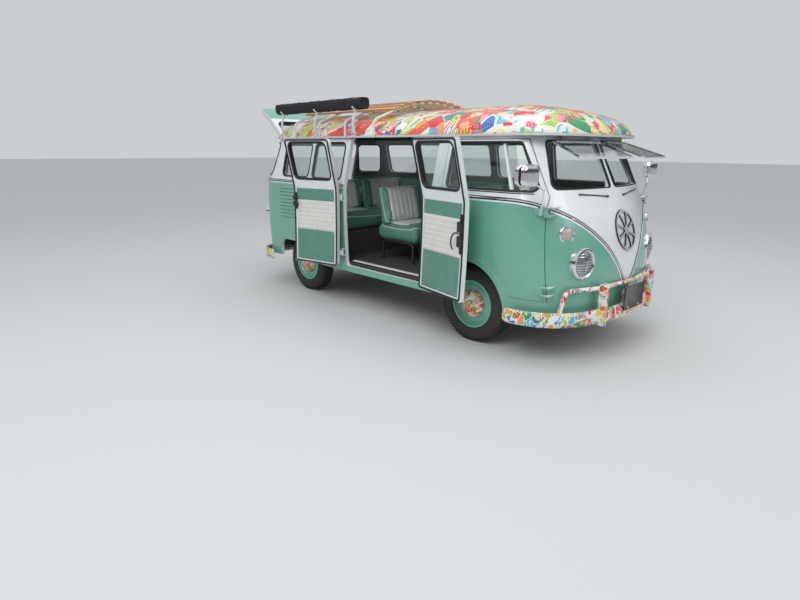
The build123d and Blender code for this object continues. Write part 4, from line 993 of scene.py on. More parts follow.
def rounded_outline(corners: Sequence[Point2], radius: float, step: float = 0.02) -> list[Point2]:
    """Sampled closed outline of a polygon with rounded corners.

    Args:
        corners: the polygon's corners in order.
        radius: of every corner.
        step: distance between samples.

    Returns:
        Points in the same order.
    """
    points: list[Point2] = []
    count = len(corners)
    arcs = []
    for i, corner in enumerate(corners):
        here = Vector(corner)
        back = (Vector(corners[i - 1]) - here).normalized()
        ahead = (Vector(corners[(i + 1) % count]) - here).normalized()
        half = math.acos(max(-1.0, min(1.0, back.dot(ahead)))) / 2
        cut = radius / math.tan(half)
        centre = here + (back + ahead).normalized() * (radius / math.sin(half))
        arcs.append((here + back * cut, centre, here + ahead * cut))
    for i, (start, centre, end) in enumerate(arcs):
        first, last = start - centre, end - centre
        angle = first.angle_signed(last)
        pieces = max(3, int(abs(angle) * radius / step) + 2)
        for k in range(pieces):
            turn = Matrix.Rotation(-angle * k / pieces, 2)
            points.append(tuple(centre + turn @ first))
        following = arcs[(i + 1) % count][0]
        run = (following - end).length
        pieces = max(1, int(run / step))
        for k in range(pieces):
            points.append(tuple(end.lerp(following, k / pieces)))
    return points


def rectangle(u: Point2, v: Point2) -> list[Point2]:
    """Corners of a rectangle from its limits."""
    return [(u[0], v[0]), (u[1], v[0]), (u[1], v[1]), (u[0], v[1])]


def grown(outline: Sequence[Point2], distance: float) -> list[Point2]:
    """A closed outline moved outwards by a distance.

    Args:
        outline: its points in order.
        distance: how far, inwards where below 0.

    Returns:
        As many points.
    """
    middle = sum((Vector(p) for p in outline), Vector((0.0, 0.0))) / len(outline)
    moved = []
    count = len(outline)
    for i, point in enumerate(outline):
        along = (Vector(outline[(i + 1) % count]) - Vector(outline[i - 1])).normalized()
        out = Vector((along.y, -along.x))
        if out.dot(Vector(point) - middle) < 0:
            out = -out
        moved.append(tuple(Vector(point) + out * distance))
    return moved


def directions(path: Sequence[Vector], closed: bool) -> list[tuple[Vector, Vector]]:
    """The way along a path at each of its points.

    Args:
        path: the points.
        closed: whether the last joins the first.

    Returns:
        Each point with the way there.
    """
    found = []
    for i, point in enumerate(path):
        ahead = path[(i + 1) % len(path)] if closed or i + 1 < len(path) else point
        behind = path[i - 1] if closed or i > 0 else point
        found.append((point, (ahead - behind).normalized()))
    return found


def tidied(mesh: bpy.types.Mesh, distance: float = 0.00002) -> bpy.types.Mesh:
    """Merge a mesh's doubles and turn its faces outwards.

    Args:
        mesh: what to tidy.
        distance: below which points merge.

    Returns:
        The same mesh.
    """
    work = bmesh.new()
    work.from_mesh(mesh)
    bmesh.ops.remove_doubles(work, verts=work.verts, dist=distance)
    bmesh.ops.recalc_face_normals(work, faces=work.faces)
    work.to_mesh(mesh)
    work.free()
    return mesh


def softened(mesh: bpy.types.Mesh, sharp: float) -> bpy.types.Mesh:
    """Shade a mesh smooth but for edges above an angle in degrees.

    Args:
        mesh: what to shade.
        sharp: the angle.

    Returns:
        The same mesh.
    """
    mesh.shade_smooth()
    mesh.set_sharp_from_angle(angle=math.radians(sharp))
    return mesh


def linked(name: str, data: bpy.types.ID) -> Thing:
    """A new object in the scene, from its mesh, lamp or camera.

    Args:
        name: of the object.
        data: what it shows.

    Returns:
        The object.
    """
    made = bpy.data.objects.new(name, data)
    bpy.context.scene.collection.objects.link(made)
    return made


def shown_mesh(thing: Thing) -> bpy.types.Mesh:
    """The mesh that an object's modifiers show, as a plain one."""
    bpy.context.view_layer.update()
    return bpy.data.meshes.new_from_object(thing.evaluated_get(bpy.context.evaluated_depsgraph_get()))


def tree_of(mesh: bpy.types.Mesh) -> BVHTree:
    """A mesh's faces, to cast rays at."""
    return BVHTree.FromPolygons([v.co for v in mesh.vertices], [tuple(p.vertices) for p in mesh.polygons])


class Skin:
    """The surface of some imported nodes, to lay trim on."""

    def __init__(self, nodes: Sequence[str], place: Matrix = Matrix.Identity(4)) -> None:
        """Gather the nodes' faces.

        Args:
            nodes: names of the nodes.
            place: how the shut piece is turned to where the frame has it.
        """
        back = place.inverted()
        points: list[Vector] = []
        faces: list[list[int]] = []
        for node in nodes:
            base = len(points)
            mesh = frame["nodes"][node].data
            points += [back @ v.co for v in mesh.vertices]
            faces += [[base + i for i in p.vertices] for p in mesh.polygons]
        self.tree = BVHTree.FromPolygons(points, faces)

    def cast(self, start: Vector, way: Vector) -> Optional[tuple[Vector, Vector]]:
        """First hit and the normal there that looks back along the ray.

        Args:
            start: of the ray.
            way: its direction.

        Returns:
            Hit and normal, or None where the ray misses.
        """
        hit, normal, _index, _distance = self.tree.ray_cast(start, way.normalized())
        if hit is None:
            return None
        return hit, (-normal if normal.dot(way) > 0 else normal)

    def cast_all(self, starts: Iterable[Vector], way: Vector) -> Track:
        """Hits and normals of parallel rays, those that miss left out."""
        found = [hit for hit in (self.cast(start, way) for start in starts) if hit]
        return [h[0] for h in found], [h[1] for h in found]


class Meshwork:
    """A piece under construction: points, faces and the finish of each face."""

    def __init__(self, name: str) -> None:
        """Start an empty piece.

        Args:
            name: of the piece.
        """
        self.name = name
        self.points: list[Vector] = []
        self.faces: list[tuple[int, ...]] = []
        self.marks: list[int] = []
        self.finishes: list[Finish] = []

    def _mark(self, finish: Finish) -> int:
        """Number of a finish on this piece.

        Args:
            finish: one that it has or gets.

        Returns:
            The number.
        """
        if finish not in self.finishes:
            self.finishes.append(finish)
        return self.finishes.index(finish)

    def add(self, points: Iterable[Vector], faces: Iterable[Sequence[int]], finish: Finish) -> "Meshwork":
        """Add points and the faces between them.

        Args:
            points: places.
            faces: numbers of those points.
            finish: of these faces.

        Returns:
            This piece.
        """
        base = len(self.points)
        self.points += [Vector(p) for p in points]
        mark = self._mark(finish)
        for face in faces:
            self.faces.append(tuple(base + i for i in face))
            self.marks.append(mark)
        return self

    def rings(self, rows: Sequence[Sequence[Vector]], finish: Finishes,
              closed_way: bool = False, closed_ring: bool = True) -> "Meshwork":
        """A skin over rows of points that follow each other, closed at both ends of an open way.

        Args:
            rows: equally long rows.
            finish: one finish, or one for each strip between neighbours in a row.
            closed_way: the last row joins the first.
            closed_ring: each row is a ring.

        Returns:
            This piece.
        """
        width = len(rows[0])
        strips = width if closed_ring else width - 1
        finishes = [finish] * strips if isinstance(finish, Finish) else list(finish)
        base = len(self.points)
        self.points += [Vector(p) for row in rows for p in row]
        count = len(rows)
        for i in range(count if closed_way else count - 1):
            here, there = base + i * width, base + ((i + 1) % count) * width
            for k in range(strips):
                nxt = (k + 1) % width
                self.faces.append((here + k, here + nxt, there + nxt, there + k))
                self.marks.append(self._mark(finishes[k]))
        if closed_ring and not closed_way:
            mark = self._mark(finishes[0])
            self.faces.append(tuple(base + k for k in reversed(range(width))))
            self.faces.append(tuple(base + (count - 1) * width + k for k in range(width)))
            self.marks += [mark, mark]
        return self

    def ribbon(self, path: Sequence[Vector], normals: Sequence[Vector], profile: Sequence[Point2],
               finish: Finishes, closed: bool = False,
               outward_from: Optional[Vector] = None) -> "Meshwork":
        """A strip of one section laid along a path on a surface.

        Args:
            path: points on the surface.
            normals: which way the surface looks at each.
            profile: section points as (across, out), a closed ring.
            finish: one, or one for each side of the section.
            closed: the path is a loop.
            outward_from: a point that the positive across direction turns away from.

        Returns:
            This piece.
        """
        rows = []
        for (point, along), normal in zip(directions(path, closed), normals):
            across = normal.cross(along).normalized()
            if outward_from is not None and across.dot(point - outward_from) < 0:
                across = -across
            rows.append([point + across * u + normal * v for u, v in profile])
        return self.rings(rows, finish, closed_way=closed)

    def tube(self, path: Sequence[Vector], radius: float, finish: Finish, sides: int = 12,
             closed: bool = False) -> "Meshwork":
        """A round bar along a path.

        Args:
            path: its middle line.
            radius: of the bar.
            finish: of the bar.
            sides: facets round.
            closed: the path is a loop.

        Returns:
            This piece.
        """
        normal = Z_AXIS
        rows = []
        for point, along in directions(path, closed):
            if abs(normal.dot(along)) > 0.95:
                normal = along.orthogonal()
            normal = (normal - along * normal.dot(along)).normalized()
            across = along.cross(normal)
            rows.append([point + (normal * math.cos(a) + across * math.sin(a)) * radius
                         for a in (2 * math.pi * k / sides for k in range(sides))])
        return self.rings(rows, finish, closed_way=closed)

    def lathe(self, centre: Vector, axis: Vector, profile: Sequence[Point2],
              finish: Finishes, segments: int = 64) -> "Meshwork":
        """Turn a profile of (radius, along) points about an axis.

        Args:
            centre: point on the axis where along is 0.
            axis: direction.
            profile: open profile; a radius of 0 closes an end.
            finish: one, or one for each step of the profile.
            segments: facets round.

        Returns:
            This piece.
        """
        way = axis.normalized()
        side = way.orthogonal().normalized()
        other = way.cross(side)
        rows = []
        for k in range(segments):
            angle = 2 * math.pi * k / segments
            out = side * math.cos(angle) + other * math.sin(angle)
            rows.append([centre + out * r + way * h for r, h in profile])
        return self.rings(rows, finish, closed_way=True, closed_ring=False)

    def block(self, low: Vector, high: Vector, finish: Finish,
              turn: Matrix = Matrix.Identity(4)) -> "Meshwork":
        """A box between two corners, turned by a matrix.

        Args:
            low: one corner.
            high: the opposite corner.
            finish: of the box.
            turn: the matrix.

        Returns:
            This piece.
        """
        points = [turn @ Vector((x, y, z)) for x in (low[0], high[0]) for y in (low[1], high[1])
                  for z in (low[2], high[2])]
        faces = [(0, 1, 3, 2), (4, 6, 7, 5), (0, 4, 5, 1), (2, 3, 7, 6), (0, 2, 6, 4), (1, 5, 7, 3)]
        return self.add(points, faces, finish)

    def mesh(self, place: Matrix = Matrix.Identity(4)) -> bpy.types.Mesh:
        """The piece as a mesh with its finishes, doubles merged and faces outwards.

        Args:
            place: turns the points to where they stand.

        Returns:
            The mesh.
        """
        mesh = bpy.data.meshes.new(self.name)
        mesh.from_pydata([place @ p for p in self.points], [], self.faces)
        for finish in self.finishes:
            mesh.materials.append(finish.material())
        for polygon, mark in zip(mesh.polygons, self.marks):
            polygon.material_index = mark
        return tidied(mesh)

    def build(self, body: str, place: Matrix = Matrix.Identity(4), sharp: float = 38.0, bevel: float = 0.0,
              replaces: Sequence[str] = (), slot: str = "") -> Thing:
        """Make the object and hang it on a body.

        Args:
            body: name of the moving body.
            place: turns the finished mesh to where it stands.
            sharp: angle above which an edge stays hard.
            bevel: width of a bevel on hard edges.
            replaces: nodes of the frame that this stands for.
            slot: the record's material slot; not used.

        Returns:
            The object.
        """
        mesh = softened(self.mesh(place), sharp)
        piece = linked(self.name, mesh)
        if bevel:
            soften = piece.modifiers.new("soften", "BEVEL")
            soften.width = bevel
            soften.segments = 2
            soften.limit_method = "ANGLE"
        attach(piece, body)
        if replaces:
            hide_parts(*replaces)
        LOG.info("%s on %s: %d faces", self.name, body, len(mesh.polygons))
        return piece


class Repeats:
    """Copies of one block by a geometry-node tree, turned into a plain mesh on one body."""

    def __init__(self, name: str, block: Meshwork, finish: Finish, body: str,
                 points: Sequence[Vector] = (Vector(),), facings: Sequence[Vector] = ()) -> None:
        """Start the tree and the object that carries it.

        Args:
            name: of the piece.
            block: the shape that repeats, about the origin.
            finish: of every copy.
            body: that the piece rides on.
            points: of the carrier.
            facings: one at each point.
        """
        self.name, self.finish, self.body = name, finish, body
        self.tree = bpy.data.node_groups.new(name, "GeometryNodeTree")
        self.graph = Graph(self.tree)
        self.values: dict[str, object] = {}
        for way in ("INPUT", "OUTPUT"):
            self.tree.interface.new_socket("Geometry", in_out=way, socket_type="NodeSocketGeometry")
        mesh = bpy.data.meshes.new(name + "_points")
        mesh.from_pydata(list(points), [], [])
        if facings:
            facing = mesh.attributes.new("facing", "FLOAT_VECTOR", "POINT")
            facing.data.foreach_set("vector", [c for n in facings for c in n])
        self.carrier = linked(name + "_carrier", mesh)
        shape = bpy.data.meshes.new(name + "_block")
        shape.from_pydata(block.points, [], block.faces)
        self.put("Block", "NodeSocketObject", bpy.data.objects.new(name + "_block", tidied(shape, 0.00001)))

    def put(self, label: str, kind: str, value: object) -> None:
        """Add a named input and remember its value."""
        socket = self.tree.interface.new_socket(label, in_out="INPUT", socket_type=kind)
        self.values[socket.identifier] = value

    def facing(self) -> Wire:
        """The facing that is stored at each point."""
        return self.graph.node("GeometryNodeInputNamedAttribute", {"data_type": "FLOAT_VECTOR"},
                               {"Name": "facing"})

    def _copied(self, points: Wire, inputs: Wire, rotation: Wire) -> Thing:
        """Instance the block on points, realize it and make it a plain mesh.

        Args:
            points: where the block goes.
            inputs: the group's inputs.
            rotation: how each copy is turned.

        Returns:
            The finished piece.
        """
        node = self.graph.node
        block = node("GeometryNodeObjectInfo", inputs={"Object": inputs.pick("Block")}, output="Geometry")
        copies = node("GeometryNodeInstanceOnPoints",
                      inputs={"Points": points, "Instance": block, "Rotation": rotation})
        real = node("GeometryNodeRealizeInstances", inputs={0: copies})
        dressed = node("GeometryNodeSetMaterial",
                       inputs={"Geometry": real, "Material": self.finish.material()})
        node("NodeGroupOutput", inputs={0: dressed})
        modifier = self.carrier.modifiers.new("repeat", "NODES")
        modifier.node_group = self.tree
        for identifier, value in self.values.items():
            modifier[identifier] = value
        mesh = softened(shown_mesh(self.carrier), 38.0)
        mesh.name = self.name
        piece = linked(self.name, mesh)
        self.carrier.modifiers.remove(modifier)
        bpy.data.objects.remove(self.carrier)
        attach(piece, self.body)
        LOG.info("%s on %s: %d faces by a node tree", self.name, self.body, len(mesh.polygons))
        return piece

    def on_points(self) -> Thing:
        """The piece with a copy on each point, its z along the facing there.

        Returns:
            The piece.
        """
        inputs = self.graph.node("NodeGroupInput")
        turn = self.graph.node("FunctionNodeAlignRotationToVector", {"axis": "Z"}, {"Vector": self.facing()})
        return self._copied(inputs, inputs, turn)

    def round_axle(self, centre: Vector, radius: float, count: int) -> Thing:
        """The piece with its copies round an axis along y, each with its z pointing outwards.

        Args:
            centre: of the ring.
            radius: of the ring.
            count: how many.

        Returns:
            The piece.
        """
        self.put("Count", "NodeSocketInt", count)
        self.put("Radius", "NodeSocketFloat", radius)
        self.put("Centre", "NodeSocketVector", tuple(centre))
        node = self.graph.node
        inputs = node("NodeGroupInput")
        circle = node("GeometryNodeMeshCircle",
                      inputs={"Vertices": inputs.pick("Count"), "Radius": inputs.pick("Radius")})
        upright = node("GeometryNodeTransform",
                       inputs={"Geometry": circle, "Rotation": (math.pi / 2, 0.0, 0.0)})
        stored = node("GeometryNodeStoreNamedAttribute", {"data_type": "FLOAT_VECTOR"},
                      {"Geometry": upright, "Name": "facing", "Value": node("GeometryNodeInputPosition")})
        placed = node("GeometryNodeTransform",
                      inputs={"Geometry": stored, "Translation": inputs.pick("Centre")})
        turn = node("FunctionNodeAxesToRotation", {"primary_axis": "Z", "secondary_axis": "Y"},
                    {"Primary Axis": self.facing(), "Secondary Axis": (0.0, 1.0, 0.0)})
        return self._copied(placed, inputs, turn)


SEAL_REACH = 0.006
SEAL_PROFILE = ((0.010, 0.000), (0.009, 0.004), (0.004, 0.006), (-0.004, 0.005), (-0.008, 0.001),
                (-0.008, -0.018), (0.001, -0.018))
TRIM_PROFILE = ((0.019, 0.0), (0.0185, 0.0025), (0.011, 0.0035), (0.0095, 0.0065), (0.005, 0.008),
                (0.0005, 0.0065), (-0.001, 0.0035), (-0.008, 0.003), (-0.0085, 0.0015), (-0.0205, 0.0015),
                (-0.0215, 0.0))
TRIM_FINISHES = (BLACK_RUBBER, BLACK_RUBBER, CHROME, CHROME, CHROME, CHROME, BLACK_RUBBER, WHITE_ENAMEL,
                 WHITE_ENAMEL, SATIN_METAL, BLACK_RUBBER)


def dress(node: str, *finishes: Finish) -> None:
    """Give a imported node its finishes.

    Args:
        node: its name.
        finishes: in the order of its slots.
    """
    mesh = frame["nodes"][node].data
    mesh.materials.clear()
    for finish in finishes:
        mesh.materials.append(finish.material())
    LOG.info("%s wears %s", node, ", ".join(f.name for f in finishes))


def lay_ring(work: Meshwork, skin: Skin, outline: Sequence[Point2], lift: Callable[[Point2], Vector],
             way: Vector, profile: Sequence[Point2]) -> None:
    """Lay a closed rubber ring on a surface.

    Args:
        work: the piece that takes it.
        skin: the surface.
        outline: the ring in its own plane.
        lift: start of the ray for a point of that plane.
        way: direction of the rays.
        profile: the rubber's section.
    """
    path, normals = skin.cast_all([lift(p) for p in outline], way)
    middle = sum(path, Vector()) / len(path)
    work.ribbon(path, normals, profile, BLACK_RUBBER, closed=True, outward_from=middle)


def lay_seal(work: Meshwork, skin: Skin, outline: Sequence[Point2], lift: Callable[[Point2], Vector],
             way: Vector, share: float = 1.0) -> None:
    """Lay a window's rubber round its opening.

    Args:
        work: the piece that takes it.
        skin: surface to lay it on.
        outline: the opening in its own plane.
        lift: start of the ray for a point of that plane.
        way: direction of the rays.
        share: of the usual width.
    """
    profile = [(u * share - SEAL_REACH, v * share) for u, v in SEAL_PROFILE]
    lay_ring(work, skin, grown(outline, SEAL_REACH), lift, way, profile)


def smooth_path(points: Sequence[Vector], pieces: int) -> list[Vector]:
    """A curve through points, with so many pieces between neighbours.

    Args:
        points: that it goes through.
        pieces: between two neighbours.

    Returns:
        The curve's points.
    """
    made: list[Vector] = []
    count = len(points)
    for i in range(count - 1):
        before, start = points[max(0, i - 1)], points[i]
        end, after = points[i + 1], points[min(count - 1, i + 2)]
        for k in range(pieces):
            t = k / pieces
            made.append(0.5 * (2 * start + (end - before) * t
                               + (2 * before - 5 * start + 4 * end - after) * t * t
                               + (3 * start - before - 3 * end + after) * t ** 3))
    made.append(points[-1].copy())
    return made


# Outside

@dataclass
class Coachwork:
    """The fixed body: paint on its panels, trim round its windows and along its belt."""

    panels: tuple[str, ...] = ("nose_panel", "side_left", "side_right", "tail_panel")
    rear_windows: tuple[Point2, ...] = ((-2.690, -2.195), (-2.130, -1.635))
    corner_window: Point2 = (-2.770, 0.495)          # centre of its curve in plan
    corner_angle: float = 47.0
    corner_half: float = 0.300 * math.tan(math.radians(27.0))       # half its width along the tangent
    screen: tuple[Point2, ...] = ((0.026, 1.300), (0.680, 1.300), (0.605, 1.640), (0.026, 1.640))
    cab_window: tuple[Point2, ...] = ((-0.238, 1.286), (0.590, 1.286), (0.390, 1.628), (-0.238, 1.628))
    handle_z: float = 1.128
    sill_y: float = -0.772
    sill_z: float = 0.467
    lip: tuple[Point2, ...] = ((0.005, 0.0), (0.004, 0.003), (0.0, 0.005), (-0.004, 0.003), (-0.005, 0.0))
    bead: tuple[Point2, ...] = ((0.004, 0.0), (0.003, 0.003), (-0.003, 0.003), (-0.004, 0.0))
    skin: Skin = field(init=False)

    def __post_init__(self) -> None:
        """Gather the panels' surface."""
        self.skin = Skin([*self.panels, "door_cab_left", "door_cab_right"])

    def build(self) -> None:
        """Paint, seals, mouldings and the doorway's trim."""
        for node in (*self.panels, "door_cab_left", "door_cab_right", "engine_lid"):
            dress(node, BODY_PAINT)
        dress("roof", ROOF_STICKERS)
        dress("glass_body", GLASS)
        dress("glass_cab_left", GLASS)
        self._window_seals()
        self._cab_doors()
        self._doorway()
        self._belt_trim()

    def _window_seals(self) -> None:
        """Seals of the fixed side windows, corner windows and windscreen."""
        work = Meshwork("window_seals")
        for sign, windows in ((1, (*self.rear_windows, *LEAF_WINDOWS)), (-1, self.rear_windows)):
            for row in windows:
                outline = rounded_outline(rectangle(row, WINDOW_Z), WINDOW_CORNER)
                lay_seal(work, self.skin, outline, from_y(BESIDE * sign), -sign * Y_AXIS)
        for sign in (1, -1):
            outline = rounded_outline([(sign * y, z) for y, z in self.screen], 0.034)
            lay_seal(work, self.skin, outline, from_x(BEFORE_X), -X_AXIS, 0.65)
            turn = math.radians(self.corner_angle)
            out = Vector((-math.sin(turn), sign * math.cos(turn), 0.0))
            along = Vector((-out.y, out.x, 0.0))
            start = at(self.corner_window[0], sign * self.corner_window[1], 0.0) + out * 1.2
            span = (-self.corner_half, self.corner_half)
            outline = rounded_outline(rectangle(span, WINDOW_Z), WINDOW_CORNER)
            lay_seal(work, self.skin, outline, lambda p, s=start, a=along: s + a * p[0] + Z_AXIS * p[1], -out)
        work.build("body")

    def _cab_doors(self) -> None:
        """Window rubber, bright handle and its end plates on each cab door."""
        for side, body in ((Side.LEFT, "door_cab_left"), (Side.RIGHT, "body")):
            sign = side.value
            work = Meshwork(f"cab_door_trim_{side.name.lower()}")
            outline = rounded_outline(list(self.cab_window), 0.030)
            lay_seal(work, self.skin, outline, from_y(BESIDE * sign), -sign * Y_AXIS)
            handle = [at(x, sign * y, self.handle_z) for x, y in
                      ((-0.248, 0.868), (-0.245, 0.884), (-0.232, 0.892), (-0.185, 0.893), (-0.138, 0.892),
                       (-0.125, 0.884), (-0.122, 0.868))]
            work.tube(smooth_path(handle, 4), 0.0085, CHROME, 12)
            for x in (-0.245, -0.125):
                hit = self.skin.cast(at(x, BESIDE * sign, 1.105), -sign * Y_AXIS)
                if hit:
                    work.lathe(Vector((hit[0].x, hit[0].y, handle[0].z)), sign * Y_AXIS,
                               ((0.0, 0.006), (0.010, 0.005), (0.015, 0.001), (0.015, -0.002)), CHROME, 20)
            work.build(body)

    def _doorway(self) -> None:
        """Rubber round the top of the open doorway and the ribbed sill strip at its foot."""
        skin = Skin(["side_right"])
        work = Meshwork("doorway_trim")
        outline = rounded_outline(rectangle(DOORWAY_X, DOORWAY_Z), 0.030)
        edge = [p for p in grown(outline, 0.018) if p[1] > 1.655]
        turn = max(range(len(edge)), key=lambda i: (Vector(edge[i]) - Vector(edge[i - 1])).length)
        edge = edge[turn:] + edge[:turn]
        path, normals = skin.cast_all([from_y(-BESIDE)(p) for p in edge], Y_AXIS)
        work.ribbon(path, normals, self.lip, BLACK_RUBBER, outward_from=at(sum(DOORWAY_X) / 2, -0.86, 1.05))
        x = (DOORWAY_X[0] + 0.020, DOORWAY_X[1] - 0.020)
        work.block(at(x[0], self.sill_y, 0.462), at(x[1], self.sill_y + 0.040, self.sill_z), WHITE_VINYL)
        for i in range(4):
            y = self.sill_y + 0.003 + 0.010 * i
            work.block(at(x[0], y, self.sill_z), at(x[1], y + 0.005, 0.4695), WHITE_VINYL)
        work.build("body")

    def _traced(self, rays: Iterable[tuple[Callable[[float], Vector], Vector]], tries: int) -> Track:
        """Points of the belt, each looked for again at the belt's height where the ray before it hit.

        Args:
            rays: for each point, where its ray starts at a height, and which way it goes.
            tries: how often a point is looked for.

        Returns:
            Points and normals.
        """
        found = []
        for start, way in rays:
            z, hit = BELT_Z, None
            for _ in range(tries):
                hit = self.skin.cast(start(z), way)
                if hit is None:
                    break
                z = v_line(hit[0].y - ORIGIN.y) if hit[0].x - ORIGIN.x > 0.0 else BELT_Z
            if hit:
                found.append(hit)
        return [h[0] for h in found], [h[1] for h in found]

    def _belt_points(self, sign: int, pivot_x: float, angles: Iterable[float]) -> Track:
        """Points of the belt line seen from a pivot in plan.

        Args:
            sign: 1 for left, -1 for right.
            pivot_x: where the rays aim.
            angles: from straight ahead, in degrees.

        Returns:
            Points and normals.
        """
        ways = [Vector((math.cos(turn), sign * math.sin(turn), 0.0)) for turn in map(math.radians, angles)]
        return self._traced([(lambda z, w=way: at(pivot_x, 0.0, z) + w * 2.5, -way) for way in ways], 6)

    def _belt_trim(self) -> None:
        """The moulding along the sides, round the tail and down to the point of the front."""
        below = at(0, 0, -40.0)
        for sign, name in ((1, "left"), (-1, "right")):
            points, normals = self._belt_points(sign, 0.1, [0.8 + 1.9 * i for i in range(29)])
            foot = [at(BEFORE_X, sign * V_FOOT_Y, V_FOOT_Z + 0.02 * i) for i in range(7)]
            low_points, low_normals = self.skin.cast_all(foot, -X_AXIS)
            nose = [i for i, p in enumerate(points) if p.x - ORIGIN.x > 0.664]
            work = Meshwork(f"front_trim_{name}")
            work.ribbon(low_points + [points[i] for i in nose], low_normals + [normals[i] for i in nose],
                        TRIM_PROFILE, TRIM_FINISHES, outward_from=at(0.9, 0, -40.0))
            work.build("body", sharp=30)
        for sign, name, body in ((1, "left", "door_cab_left"), (-1, "right", "body")):
            points, normals = self._side_belt(sign, -0.284, 0.640)
            work = Meshwork(f"cab_trim_{name}")
            work.ribbon(points, normals, TRIM_PROFILE, TRIM_FINISHES, outward_from=below)
            line = [at(-0.240 + 0.05 * i, BESIDE * sign, 1.2680) for i in range(17)]
            path, out = self.skin.cast_all(line, -sign * Y_AXIS)
            work.ribbon(path, out, self.bead, BLACK_RUBBER, outward_from=below)
            work.build(body, sharp=30)
        rear = Meshwork("rear_trim")
        for sign, start in ((1, -0.300), (-1, -1.575)):
            points, normals = self._side_belt(sign, -2.85, start)
            round_tail = self._belt_points(sign, -2.75, [176.0 - i for i in range(80)])
            tail = [(p, n) for p, n in zip(*round_tail) if p.x - ORIGIN.x < -2.86
                    and abs(p.y - ORIGIN.y) > 0.53]
            rear.ribbon([p for p, _ in tail] + points, [n for _, n in tail] + normals, TRIM_PROFILE,
                        TRIM_FINISHES, outward_from=below)
        points, normals = self._side_belt(-1, -0.390, -0.296)
        rear.ribbon(points, normals, TRIM_PROFILE, TRIM_FINISHES, outward_from=below)
        rear.build("body", sharp=30)

    def _side_belt(self, sign: int, start: float, end: float) -> Track:
        """Points of the belt along one side.

        Args:
            sign: 1 for left, -1 for right.
            start: of the run, along the bus.
            end: of the run.

        Returns:
            Points and normals.
        """
        count = max(3, int(abs(end - start) / 0.03))
        places = [start + (end - start) * i / count for i in range(count + 1)]
        return self._traced([(lambda z, x=x: at(x, BESIDE * sign, z), -sign * Y_AXIS) for x in places], 4)


